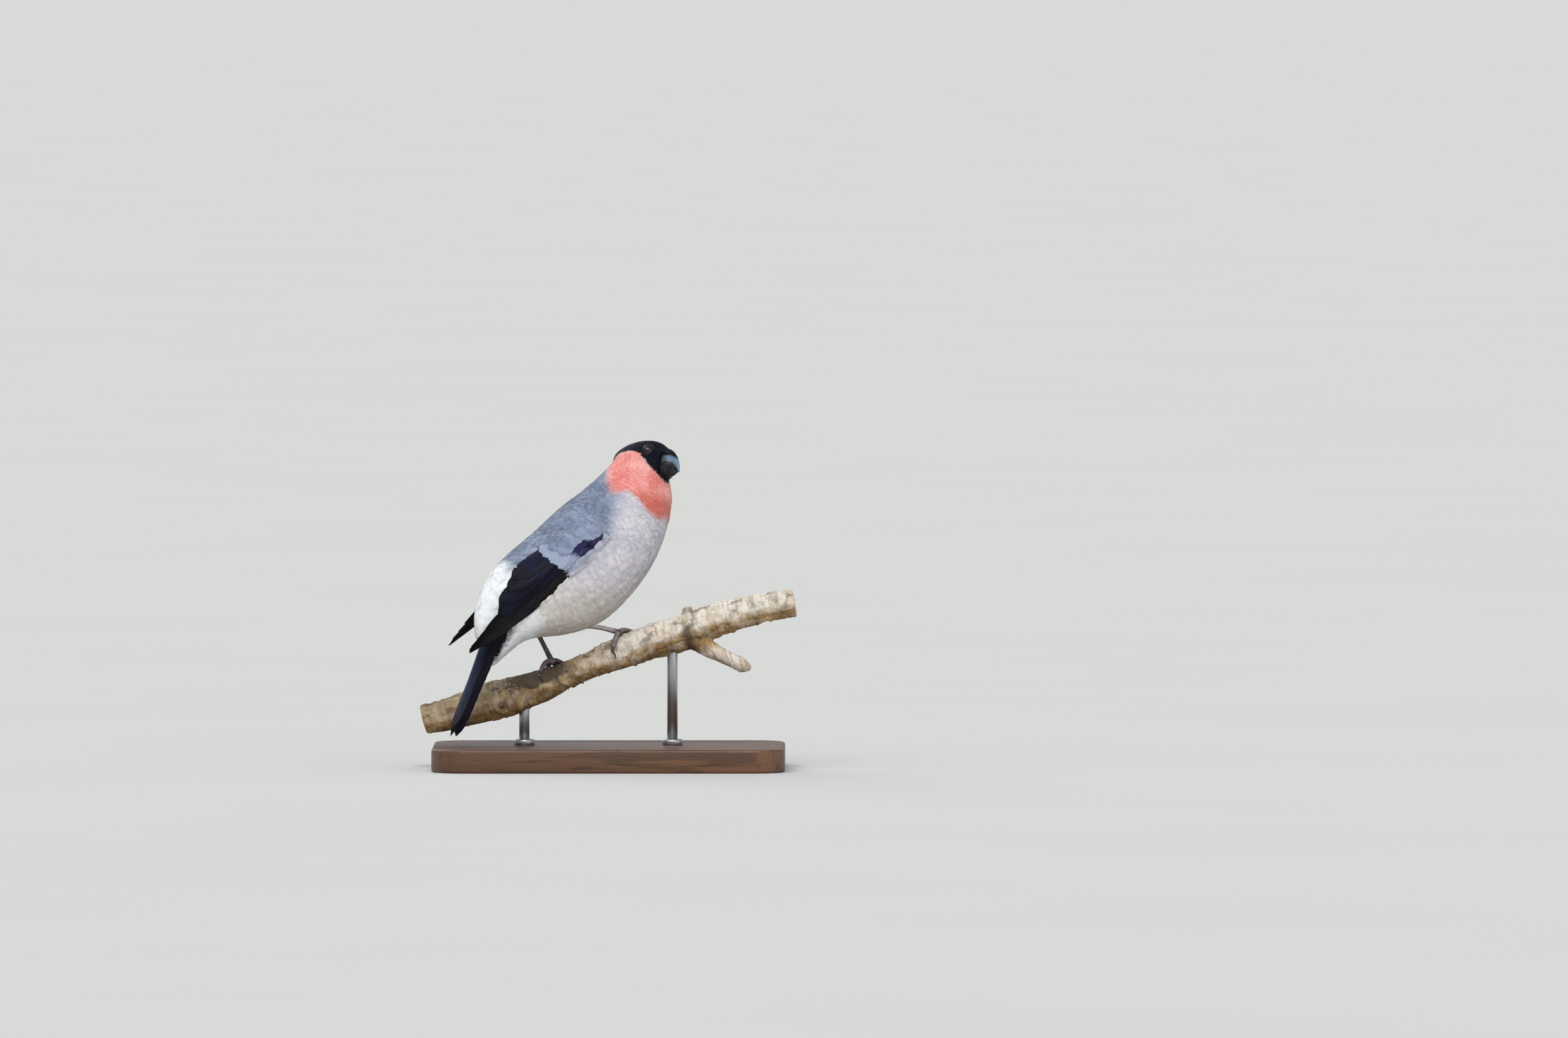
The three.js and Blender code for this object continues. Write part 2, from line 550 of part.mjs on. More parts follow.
const look = (hex, roughness, metalness = 0) =>
  new THREE.MeshStandardMaterial({ color: hex, roughness, metalness });
const finish = {
  cap: look(colour.cap, 0.6), belly: look(colour.belly, 0.9),
  pink: look(colour.pink, 0.9), white: look(colour.white, 0.9), wing: look(colour.wing, 0.5),
  bill: look(colour.bill, 0.35), leg: look(colour.leg, 0.6), claw: look(colour.claw, 0.4),
  eye: look(colour.eye, 0.08), bark: look(colour.bark, 0.95), wood: look(colour.wood, 0.5),
  steel: look(colour.steel, 0.35, 0.9),
};

const bird = new THREE.Group();
const add = (name, made, material) => bird.add(mesh(name, made, material));

// Head, with its bill and eyes
const wholeHead = placed(headCore());
const grownHead = placed(headCore(gap));
const sockets = [-1, 1].map((side) => placed(eyeBall(side, gap)));
const lids = [-1, 1].map((side) => placed(lid(side)));
const headSolid = sockets.reduce((made, socket) => made.subtract(socket), join([wholeHead, ...lids]));
add("head", headSolid, finish.cap);
add("eye_right", placed(eyeBall(1)), finish.eye);
add("eye_left", placed(eyeBall(-1)), finish.eye);

const nostrils = [-1, 1].map((side) => placed(nostril(side)));
const mandibles = placed(billShape()).subtract(grownHead).subtract(placed(mouthCut())).decompose()
  .sort((a, b) => b.volume() - a.volume()).slice(0, 2)
  .sort((a, b) => b.boundingBox().max[2] - a.boundingBox().max[2]);
add("bill_upper", nostrils.reduce((made, hole) => made.subtract(hole), mandibles[0]), finish.bill);
add("bill_lower", mandibles[1], finish.bill);

// Body, parted into the neck, the torso and the rump with its tail coverts
const wholeBody = placed(body()).subtract(grownHead).subtract(sockets[0]).subtract(sockets[1]);
const parted = [cuts.rump, cuts.neck].map((t) => placed(spineSlab(t, gap)))
  .reduce((made, slab) => made.subtract(slab), wholeBody)
  .decompose().filter((piece) => piece.volume() > cuts.crumb)
  .sort((a, b) => a.boundingBox().max[2] - b.boundingBox().max[2]);
const grownBody = placed(body(gap));
const wingSolids = Object.fromEntries(
  Object.entries(wings).map(([name, wing]) => [name, placed(wingSolid(wing)).subtract(grownBody)]),
);
["rump", "torso", "neck"].forEach((name, i) =>
  add(name, parted[i], { rump: finish.white, torso: finish.belly, neck: finish.pink }[name]));
for (const name of ["right", "left"]) add(`wing_${name}`, wingSolids[name], finish.wing);
add("tail", placed(tailSolid()).subtract(grownBody), finish.wing);

// Legs and feet
const grownBranch = branch(gap);
for (const [name, leg] of Object.entries(legs)) {
  const foot = join([pad(leg), ...toes[name].map((toe) => toeSolid(leg.foot, toe))]).subtract(grownBranch);
  add(`thigh_${name}`, tuft(leg).subtract(grownBody), finish.white);
  const grownToes = toes[name].map((toe) => toeSolid(leg.foot, toe, gap));
  const around = [grownBody, tuft(leg, gap), pad(leg, gap), ...grownToes];
  add(`shank_${name}`, around.reduce((made, next) => made.subtract(next), shank(leg)), finish.leg);
  add(`foot_${name}`, foot, finish.leg);
  for (const toe of toes[name]) {
    const claw = limb(clawPath(leg.foot, toe), clawRadius, 6, 5);
    add(`claw_${name}_${toe.name}`, claw.subtract(grownBranch), finish.claw);
  }
}

// Branch and stand
const model = new THREE.Group();
model.add(bird);
model.add(mesh("perch", branch(), finish.bark));
model.add(mesh("stand_base", baseSolid(), finish.wood));
model.add(mesh("stand_rod_left", rodSolid(rodPlaces.left).subtract(grownBranch), finish.steel));
model.add(mesh("stand_rod_right", rodSolid(rodPlaces.right).subtract(grownBranch), finish.steel));

export default model;
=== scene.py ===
# %% [markdown]
# A male bullfinch on a cut length of branch, life size, as a still display model.
# The solids come ready packed and fixed in place. This script gives them their looks: skin and
# plumage, wing and tail feathers, eyes, bill, legs, bark and a plain wooden stand.

# %% Load the frame
import math
import bmesh
import bpy
import numpy as np
from mathutils import Matrix, Vector, noise
from mathutils.bvhtree import BVHTree


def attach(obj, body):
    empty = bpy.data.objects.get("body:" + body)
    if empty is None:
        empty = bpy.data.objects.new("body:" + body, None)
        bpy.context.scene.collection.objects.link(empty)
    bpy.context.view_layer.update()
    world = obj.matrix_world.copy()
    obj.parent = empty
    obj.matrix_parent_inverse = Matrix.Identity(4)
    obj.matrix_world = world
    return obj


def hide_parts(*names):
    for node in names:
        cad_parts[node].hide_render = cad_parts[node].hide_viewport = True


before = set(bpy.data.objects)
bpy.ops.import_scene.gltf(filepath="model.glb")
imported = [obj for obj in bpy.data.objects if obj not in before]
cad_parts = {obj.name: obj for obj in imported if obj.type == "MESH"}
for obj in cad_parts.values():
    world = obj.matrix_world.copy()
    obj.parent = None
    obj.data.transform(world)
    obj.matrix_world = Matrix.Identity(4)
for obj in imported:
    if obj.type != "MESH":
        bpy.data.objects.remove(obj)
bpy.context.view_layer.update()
print("solids:", sorted(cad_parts))

# %% [markdown]
# The picture was taken from far away with a long lens, so the view is almost without perspective.
# The camera comes first, because everything after it is judged through it. It looks along +Y from
# two degrees above the bird, and what one millimetre of the bird measures in the picture sets
# the lens. The bird stands left of the middle, so the camera aims at a point beside it.

# %% Camera, floor and light
MM = 0.001
IMAGE_WIDTH = 2368
PIXELS_PER_MM = 3.55
CAMERA_FAR = 7.0
CAMERA_RISE = math.radians(2)
AIM = Vector((74.5, 0, 106.3)) * MM
SENSOR = 36.0

camera_data = bpy.data.cameras.new("camera")
camera_data.sensor_width = SENSOR
camera_data.lens = SENSOR * CAMERA_FAR / (IMAGE_WIDTH / PIXELS_PER_MM * MM)
camera = bpy.data.objects.new("camera", camera_data)
bpy.context.scene.collection.objects.link(camera)
away = Vector((0, -math.cos(CAMERA_RISE), math.sin(CAMERA_RISE)))
camera.location = AIM + away * CAMERA_FAR
camera.rotation_mode = "QUATERNION"
camera.rotation_quaternion = (-away).to_track_quat("-Z", "Y")
bpy.context.scene.camera = camera
bpy.context.scene.view_settings.view_transform = "Standard"


def far_light(name, source, power, softness, tint):
    """A light as far away as the sun, from the way of source. Softness is its width in degrees."""
    data = bpy.data.lights.new(name, "SUN")
    data.energy = power
    data.angle = math.radians(softness)
    data.color = tint
    lamp = bpy.data.objects.new(name, data)
    bpy.context.scene.collection.objects.link(lamp)
    lamp.rotation_mode = "QUATERNION"
    lamp.rotation_quaternion = (-Vector(source)).to_track_quat("-Z", "Y")


far_light("key", (-0.35, -0.8, 1.1), 1.5, 50, (1.0, 0.99, 0.97))
far_light("spark", (0.1, -1.0, 0.9), 0.7, 11, (1.0, 1.0, 1.0))
far_light("fill", (0.9, -0.8, 0.12), 0.8, 60, (1.0, 0.97, 0.95))
far_light("back light", (-0.7, 1.0, 0.9), 0.8, 40, (0.92, 0.96, 1.0))
world = bpy.data.worlds.new("studio")
bpy.context.scene.world = world
world.use_nodes = True
world.node_tree.nodes["Background"].inputs["Color"].default_value = (0.82, 0.85, 0.89, 1)
world.node_tree.nodes["Background"].inputs["Strength"].default_value = 0.62
print("lens", round(camera_data.lens, 1), "mm")

# %% [markdown]
# Shader maths is easier to read as sums than as boxes and wires. A small class wraps a node's
# output, so that a + b adds a Math node, and one method makes every other kind of node.


# %% A class for shader maths
class Wire:
    """A node's output. Python's operators on it add Math nodes."""

    def __init__(self, paint, socket):
        self.paint = paint
        self.socket = socket

    def maths(self, operation, *values):
        return self.paint.node("ShaderNodeMath", {"operation": operation}, dict(enumerate(values)))

    def __add__(self, other):
        return self.maths("ADD", self, other)

    def __sub__(self, other):
        return self.maths("SUBTRACT", self, other)

    def __rsub__(self, other):
        return self.maths("SUBTRACT", other, self)

    def __mul__(self, other):
        return self.maths("MULTIPLY", self, other)

    __radd__, __rmul__ = __add__, __mul__

    def sine(self):
        return self.maths("SINE", self)

    def size(self):
        return self.maths("ABSOLUTE", self)

    def between(self, low, high):
        """0 below low, 1 above high, and a smooth step in between."""
        settings = {"interpolation_type": "SMOOTHSTEP"}
        values = {"Value": self, "From Min": low, "From Max": high, "To Min": 0.0, "To Max": 1.0}
        return self.paint.node("ShaderNodeMapRange", settings, values)


class Paint:
    """A material with a Principled shader. Fixed numbers go straight on its sockets."""

    def __init__(self, name, **fixed):
        self.material = bpy.data.materials.new(name)
        self.material.use_nodes = True
        self.tree = self.material.node_tree
        self.shader = self.tree.nodes["Principled BSDF"]
        for socket, value in fixed.items():
            self.set(socket.replace("_", " "), value)

    def set(self, socket, value):
        self.feed(self.shader.inputs[socket], value)

    def feed(self, socket, value):
        if isinstance(value, Wire):
            self.tree.links.new(value.socket, socket)
        else:
            socket.default_value = value

    def node(self, kind, settings=None, values=None, output=0):
        made = self.tree.nodes.new(kind)
        for key, value in (settings or {}).items():
            setattr(made, key, value)
        for key, value in (values or {}).items():
            if isinstance(key, int):
                socket = made.inputs[key]
            else:
                socket = next(s for s in made.inputs if key in (s.identifier, s.name) and s.enabled)
            self.feed(socket, value)
        if isinstance(output, int):
            return Wire(self, made.outputs[output])
        return Wire(self, next(s for s in made.outputs if output in (s.identifier, s.name)))

    def mix(self, factor, a, b):
        """Colour a where factor is 0 and b where it is 1. Three numbers are a colour on a screen."""
        a, b = (colour(*tint) if isinstance(tint, tuple) else tint for tint in (a, b))
        values = {"Factor_Float": factor, "A_Color": a, "B_Color": b}
        return self.node("ShaderNodeMix", {"data_type": "RGBA"}, values, "Result_Color")

    def place(self):
        return self.node("ShaderNodeTexCoord", output="Object")

    def stretched(self, scale):
        return self.node("ShaderNodeMapping", {}, {"Vector": self.place(), "Scale": scale})

    def noise(self, scale, detail=3.0, rough=0.55, where=None):
        values = {"Vector": where or self.place(), "Scale": scale, "Detail": detail, "Roughness": rough}
        return self.node("ShaderNodeTexNoise", {}, values, "Fac")

    def parts(self, name):
        """The three numbers of a vector attribute."""
        vector = self.node("ShaderNodeAttribute", {"attribute_name": name}, output="Vector")
        return [self.node("ShaderNodeSeparateXYZ", {}, {0: vector}, i) for i in range(3)]

    def number(self, name):
        """A number attribute."""
        return self.node("ShaderNodeAttribute", {"attribute_name": name}, output="Fac")

    def surface(self, tint, roughness, height, distance):
        """Colour, roughness and a relief of height times distance, in metres."""
        values = {"Height": height, "Distance": distance, "Strength": 1.0}
        self.set("Base Color", tint)
        self.set("Roughness", roughness)
        self.set("Normal", self.node("ShaderNodeBump", {}, values))
        return self


def colour(red, green, blue):
    """A colour as a screen shows it, from 0 to 255, made linear."""
    share = np.array([red, green, blue]) / 255
    linear = np.where(share <= 0.04045, share / 12.92, ((share + 0.055) / 1.055) ** 2.4)
    return (*(float(x) for x in linear), 1.0)


# %% [markdown]
# The floor only has to be pale and plain. It is one large disc, far wider than any view.

# %% Floor
FLOOR_RADIUS = 400


def finished(shape, name):
    """The mesh of a bmesh that is done."""
    made = bpy.data.meshes.new(name)
    shape.to_mesh(made)
    shape.free()
    return made


shape = bmesh.new()
bmesh.ops.create_circle(shape, cap_ends=True, segments=96, radius=FLOOR_RADIUS)
floor_mesh = finished(shape, "floor")
floor = bpy.data.objects.new("floor", floor_mesh)
bpy.context.scene.collection.objects.link(floor)
floor_paint = Paint("pale floor", Roughness=1.0, Specular_IOR_Level=0.0)
mottle = floor_paint.noise(3.0)
floor_paint.set("Base Color", floor_paint.mix(mottle, (196, 196, 193), (200, 200, 197)))
floor_mesh.materials.append(floor_paint.material)

# %% [markdown]
# The bird has a frame of its own: +X the way its body faces, +Y to its left and +Z up, in
# millimetres. It stands on the branch turned by 25 degrees. A track is a smooth line through a
# few keys, and gives every section of the bird its size.

# %% The bird's frame and smooth tracks
BIRD_TURN = math.radians(25)
BIRD_X = -9.3
TURN_COS, TURN_SIN = math.cos(BIRD_TURN), math.sin(BIRD_TURN)


def rows(*values):
    """Numbers or arrays side by side, one row for each point."""
    return np.stack(np.broadcast_arrays(*values), -1)


def to_part(points):
    """From the bird's frame in millimetres to the model's in metres."""
    x, y, z = np.moveaxis(np.asarray(points, float), -1, 0)
    return rows(TURN_COS * x - TURN_SIN * y + BIRD_X, TURN_SIN * x + TURN_COS * y, z) * MM


def to_bird(points):
    """From the model's frame in metres to the bird's in millimetres."""
    x, y, z = np.moveaxis(np.asarray(points, float) / MM, -1, 0)
    x = x - BIRD_X
    return rows(TURN_COS * x + TURN_SIN * y, TURN_COS * y - TURN_SIN * x, z)


def track(keys):
    """A smooth line through [place, value] keys."""
    places, values = np.array(keys, float).T
    slopes = np.empty(len(places))
    slopes[1:-1] = (values[2:] - values[:-2]) / (places[2:] - places[:-2])
    slopes[0] = (values[1] - values[0]) / (places[1] - places[0])
    slopes[-1] = (values[-1] - values[-2]) / (places[-1] - places[-2])

    def value_at(place):
        p = np.clip(place, places[0], places[-1])
        i = np.clip(np.searchsorted(places, p, side="right") - 1, 0, len(places) - 2)
        span = places[i + 1] - places[i]
        s = (p - places[i]) / span
        rise = (3 - 2 * s) * s * s
        start = (s**3 - 2 * s**2 + s) * span * slopes[i]
        end = (s**3 - s**2) * span * slopes[i + 1]
        return (1 - rise) * values[i] + rise * values[i + 1] + start + end

    return value_at


def ease(x, low, high):
    """A smooth step from 0 at low to 1 at high."""
    s = np.clip((x - low) / (high - low), 0, 1)
    return s * s * (3 - 2 * s)


def bell(x, width):
    """1 at 0, falling to 0 on both sides."""
    return np.exp(-((x / width) ** 2))


def lengths(vectors):
    return np.linalg.norm(vectors, axis=-1)


def within(x, low, high):
    return (x > low) & (x < high)


def unit(vectors):
    return vectors / np.maximum(lengths(vectors), 1e-12)[..., None]


HEAD_TURN, HEAD_TILT = math.radians(53), math.radians(17)
HEAD_CENTRE = np.array([26.9, 0, 130.4])
head_forward = np.array([math.cos(HEAD_TURN), -math.sin(HEAD_TURN), 0])
level_right = np.array([-math.sin(HEAD_TURN), -math.cos(HEAD_TURN), 0])
straight_up = np.array([0, 0, 1.0])
head_up = straight_up * math.cos(HEAD_TILT) - level_right * math.sin(HEAD_TILT)
head_right = level_right * math.cos(HEAD_TILT) + straight_up * math.sin(HEAD_TILT)
head_axes = np.stack([head_forward, head_right, head_up])


def in_head(forward, right, up):
    """A place given from the middle of the skull, in the bird's frame."""
    return HEAD_CENTRE + rows(forward, right, up) @ head_axes


def from_head(points):
    return (points - HEAD_CENTRE) @ head_axes.T


SPINE = [
    (-45.6, 44.6, 63), (-44.1, 54.0, 63), (-40.0, 62.0, 60), (-29.9, 69.6, 50), (-18.8, 75.9, 44),
    (-7.9, 82.5, 42), (5.6, 94.5, 43), (16.0, 105.5, 48), (23.6, 119.4, 64), (25.5, 129.5, 72),
]
spine_share = np.linspace(0, 1, len(SPINE))
spine_tracks = [track(list(zip(spine_share, values))) for values in zip(*SPINE)]
spine_at = np.linspace(0, 1, 120)
spine_x, spine_z, spine_lean = (line(spine_at) for line in spine_tracks)


def round_spine(points):
    """The share along the spine and the angle round it, from the belly, of points on the bird."""
    gap = (points[:, None, 0] - spine_x) ** 2 + (points[:, None, 2] - spine_z) ** 2
    near = np.argmin(gap, axis=1)
    lean = np.radians(spine_lean[near])
    up = (points[:, 2] - spine_z[near]) * np.cos(lean) - (points[:, 0] - spine_x[near]) * np.sin(lean)
    return spine_at[near], np.arctan2(points[:, 1], -up), up


print("head looks along", np.round(head_forward, 2))

# %% [markdown]
# Most pieces start as one of two plain shapes. A flat grid becomes a feather, and a ball whose
# rings are carried along a line becomes a limb. Both are made once by a bmesh operator and read
# into arrays, so that thousands of feathers can be bent into place and joined quickly.


# %% Plain shapes as arrays
def as_arrays(shape):
    bmesh.ops.triangulate(shape, faces=shape.faces[:])
    places = np.array([v.co for v in shape.verts], float)
    faces = np.array([[v.index for v in f.verts] for f in shape.faces], int)
    shape.free()
    return places, faces


def grid_shape(across, along):
    """A flat grid: u from -1 to 1 across, v from 0 to 1 along, and its triangles."""
    shape = bmesh.new()
    bmesh.ops.create_grid(shape, x_segments=across, y_segments=along, size=1)
    places, faces = as_arrays(shape)
    return places[:, 0], (places[:, 1] + 1) / 2, faces


def tube_shape(around, along):
    """A closed tube: t along it, side and up on the unit circle, and its triangles."""
    shape = bmesh.new()
    bmesh.ops.create_uvsphere(shape, u_segments=around, v_segments=along + 2, radius=1)
    places, faces = as_arrays(shape)
    ring = np.round(np.arccos(np.clip(-places[:, 2], -1, 1)) / math.pi * (along + 2))
    t = np.clip((ring - 1) / along, 0, 1)
    rim = np.hypot(places[:, 0], places[:, 1])
    rim[rim < 1e-6] = np.inf
    return t, places[:, 0] / rim, places[:, 1] / rim, faces


def outward(places, faces):
    """The faces of a closed shape, turned to point out."""
    a, b, c = (places[faces[:, i]] - places.mean(0) for i in range(3))
    volume = np.einsum("ij,ij->i", a, np.cross(b, c)).sum()
    return faces if volume > 0 else faces[:, ::-1]


class Heap:
    """Shapes with their attributes, gathered to be joined into one mesh."""

    def __init__(self):
        self.places, self.faces, self.extras, self.count = [], [], {}, 0

    def add(self, places, faces, **extras):
        self.places.append(places)
        self.faces.append(faces + self.count)
        self.count += len(places)
        for name, values in extras.items():
            self.extras.setdefault(name, []).append(values)
        return self

    def arrays(self):
        return np.concatenate(self.places), np.concatenate(self.faces)

    def mesh(self, name):
        places, faces = self.arrays()
        made = bpy.data.meshes.new(name)
        made.vertices.add(len(places))
        made.vertices.foreach_set("co", places.astype(np.float32).ravel())
        made.loops.add(faces.size)
        made.loops.foreach_set("vertex_index", faces.astype(np.int32).ravel())
        made.polygons.add(len(faces))
        made.polygons.foreach_set("loop_start", np.arange(0, faces.size, 3, dtype=np.int32))
        made.polygons.foreach_set("use_smooth", np.ones(len(faces), bool))
        for extra, parts in self.extras.items():
            values = np.concatenate(parts).astype(np.float32)
            if extra == "OFBake":
                layer = made.uv_layers.new(name=extra)
                layer.data.foreach_set("uv", values[faces.ravel()].ravel())
            else:
                mark(made, **{extra: values})
        made.update(calc_edges=True)
        made.validate()
        return made


def piece(name, shape, paint, slot, *nodes):
    """A finished piece from a mesh or a heap: its material, body and the solids it replaces. Its slot is not
    used.
    """
    mesh = shape.mesh(name) if isinstance(shape, Heap) else shape
    made = bpy.data.objects.new(name, mesh)
    bpy.context.scene.collection.objects.link(made)
    mesh.materials.clear()
    mesh.materials.append(paint.material)
    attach(made, "root")
    if nodes:
        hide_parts(*nodes)
    print(name, len(mesh.polygons), "faces")


def moved(mesh, places):
    """Puts the vertices of a mesh in new places and shades it smoothly."""
    mesh.vertices.foreach_set("co", places.astype(np.float32).ravel())
    mesh.polygons.foreach_set("use_smooth", np.ones(len(mesh.polygons), bool))
    mesh.update()


def tree_of(places, faces):
    return BVHTree.FromPolygons(places.tolist(), faces.tolist())


def arrays_of(mesh):
    """The vertices, normals and triangles of a mesh."""
    places = np.empty(len(mesh.vertices) * 3, np.float32)
    mesh.vertices.foreach_get("co", places)
    normals = np.empty(len(mesh.vertices) * 3, np.float32)
    mesh.vertex_normals.foreach_get("vector", normals)
    mesh.calc_loop_triangles()
    faces = np.empty(len(mesh.loop_triangles) * 3, np.int32)
    mesh.loop_triangles.foreach_get("vertices", faces)
    return (part.reshape(-1, 3) for part in (places.astype(float), normals.astype(float), faces))


# %% [markdown]
# A folded wing is a curved sheet on the bird's side. Its feathers lie in tiers, each named and
# laid out by the place of its root and tip on that sheet: p runs from the bend of the wing to its
# tip, q runs up across it and h is the height over it. The tiers repeat those of the solids, with
# every feather that shows on the real wing.

# %% The wing's sheet
WINGS = {
    "right": {"side": -1, "bend": (4, 101.8), "slope": 38.4, "spread": 1.0},
    "left": {"side": 1, "bend": (5.5, 102.6), "slope": 36.6, "spread": 0.6},
}
wing_out = track([[-6, 16.5], [0, 18.8], [20, 20.0], [40, 17.8], [60, 13.6], [83, 10.4]])
wing_lean = track([[-6, 16], [20, 20], [45, 18], [83, 8]])
wing_round = track([[0, 22], [40, 25], [60, 38], [83, 70]])


def wing_point(wing, p, q, h):
    down = math.radians(wing["slope"])
    lean = np.radians(wing_lean(p))
    bow = wing_round(p)
    turn = lean + q * wing["spread"] / bow
    across = bow * (np.sin(turn) - np.sin(lean)) + h * np.sin(turn)
    out = wing_out(p) - bow * (np.cos(lean) - np.cos(turn)) + h * np.cos(turn)
    x = wing["bend"][0] - p * math.cos(down) - across * math.sin(down)
    z = wing["bend"][1] - p * math.sin(down) + across * math.cos(down)
    return rows(x, wing["side"] * out, z)


def on_wing(points, wing):
    """Where places in the bird's frame lie on a wing's sheet, taken as 3 mm over it."""
    down = math.radians(wing["slope"])
    x, z = points[:, 0] - wing["bend"][0], points[:, 2] - wing["bend"][1]
    p = -x * math.cos(down) - z * math.sin(down)
    across = z * math.cos(down) - x * math.sin(down)
    bow, lean = wing_round(p), np.radians(wing_lean(p))
    reach = np.clip((across + bow * np.sin(lean)) / (bow + 3), -1, 1)
    return p, bow * (np.arcsin(reach) - lean) / wing["spread"]


# the arm, and a wider and flatter skirt by which the body rises softly to it
ARM = {"start": -5, "end": 40, "middle": 7.9, "half": 9.0, "inner": 3.4, "outer": 3.2, "thin": 0.7}
SKIRT = {"start": -9, "end": 44, "middle": 6.5, "half": 12.5, "inner": 3.4, "outer": 1.7, "thin": 0.2}


def wing_core(wing, size):
    """The arm with its flesh, from the shoulder to the roots of the long feathers."""
    t, side, up, faces = tube_shape(40, 40)
    swell = np.sin(math.pi * np.clip(0.06 + 0.88 * t, 0, 1)) ** 0.6
    outer = np.where(t < 0.4, size["outer"], size["outer"] + (size["thin"] - size["outer"]) * (t - 0.4) / 0.6)
    h = up * np.where(up > 0, outer, size["inner"]) * swell
    q = size["middle"] + side * size["half"] * swell
    places = to_part(wing_point(wing, size["start"] + t * (size["end"] - size["start"]), q, h))
    return places, outward(places, faces)


# %% [markdown]
# The skin is one closed surface under all the small feathers. Copies of the flesh solids are
# grown a little so that they meet, joined with both arms, and remeshed into one even mesh. It is
# then smoothed, and drawn in by the depth of the plumage that will lie on it.

# %% Skin
FLESH = ["head", "neck", "torso", "rump", "thigh_right", "thigh_left"]
GROW, SOCKET_GROW = 0.25, 0.15
VOXEL = 0.65
EYE = {"forward": 4.9, "right": 6.7, "up": 2.7, "radius": 3.3, "ahead": 0.2}
coat_depth = track([[0, 0.45], [8, 0.6], [20, 1.0], [60, 1.15]])


def bill_distance(points):
    """How far points lie behind the base of the bill, in millimetres."""
    return lengths(points - in_head(9.0, 0, -1.5))


def eye_place(side):
    """The middle of an eye and the way it looks, in the bird's frame. The right side is 1."""
    gaze = unit(head_right * side + head_forward * EYE["ahead"])
    return in_head(EYE["forward"], side * EYE["right"], EYE["up"]), gaze


def copy_of(node):
    """A bmesh of a solid, with its double vertices merged."""
    shape = bmesh.new()
    shape.from_mesh(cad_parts[node].data)
    bmesh.ops.remove_doubles(shape, verts=shape.verts[:], dist=1e-6)
    return shape


def flesh_mesh():
    joined = Heap()
    for name in FLESH:
        shape = copy_of(name)
        shape.normal_update()
        for v in shape.verts:
            v.co += v.normal * GROW * MM
        joined.add(*as_arrays(shape))
    for wing in WINGS.values():
        joined.add(*wing_core(wing, ARM))
        joined.add(*wing_core(wing, SKIRT))
    t, side, up, faces = tube_shape(24, 16)
    height = -np.cos(math.pi * t)
    rim = np.sqrt(1 - height**2)
    socket = rows(side * rim, up * rim, height) * (EYE["radius"] + SOCKET_GROW) * MM
    for hand in (-1, 1):
        joined.add(to_part(eye_place(hand)[0]) + socket, faces)
    return joined.mesh("skin")


def changed(mesh, **modifiers):
    """The mesh after the named modifiers, each with its settings."""
    holder = bpy.data.objects.new("holder", mesh)
    bpy.context.scene.collection.objects.link(holder)
    for kind, settings in modifiers.items():
        modifier = holder.modifiers.new(kind, kind)
        for key, value in settings.items():
            setattr(modifier, key, value)
    evaluated = holder.evaluated_get(bpy.context.evaluated_depsgraph_get())
    made = bpy.data.meshes.new_from_object(evaluated)
    bpy.data.objects.remove(holder)
    return made


skin_mesh = changed(
    flesh_mesh(),
    REMESH={"mode": "VOXEL", "voxel_size": VOXEL * MM},
    SMOOTH={"factor": 0.5, "iterations": 14},
)
outer_places, outer_normals, skin_faces = arrays_of(skin_mesh)
skin_bird = to_bird(outer_places)
inset = coat_depth(bill_distance(skin_bird)) + GROW
skin_places = outer_places - outer_normals * inset[:, None] * MM
moved(skin_mesh, skin_places)
skin_tree = tree_of(skin_places, skin_faces)
print("skin", len(skin_places), "vertices")

# %% [markdown]
# Where a feather grows decides its colour. The cap and the bib are black, the cheeks and the
# throat pink, with a deeper red painted as shade under the cheeks and chin, the back blue-grey,
# the breast and the belly a pinkish pale grey, and the rump and the vent white. Each border is a
# line in the frame of the head or of the body, and skin and feathers ask the same function, so
# that they carry the same markings.

# %% Plumage zones
cap_edge = track([
    [-14, -3], [-8.6, -0.2], [-5.6, 0.8], [-0.2, 1.6], [3, 0.6], [5.4, -1.5], [7.4, -3.8],
    [9.2, -5.6], [11, -7.7], [12.5, -9.6],
])
pink_edge = track([
    [-14, -1], [-10.2, -4.4], [-7.9, -9.6], [-4.7, -15.5], [-1.2, -17.3], [3.2, -17.5],
    [7.5, -20.1], [9.4, -21.9], [11.7, -23.6], [14, -22.4],
])
SHOULDER = (2.7, 102.4)
NECK_SLOPE = 0.49
WING_SLOPE = 0.84
RUMP_X, VENT_X = -37.5, -25.0
TAIL_ROOT = np.array([-35.9, 77.3])
TAIL_WAY = np.array([-0.415, -0.910])
TAIL_UP = np.array([-0.910, 0.415])


def wobble(points, scale, seed):
    """Smooth noise from about -1 to 1 over points in millimetres."""
    shift = Vector((seed * 7.1, seed * 3.3, seed * 5.7))
    return np.array([noise.noise(Vector(p) * scale + shift) for p in points])


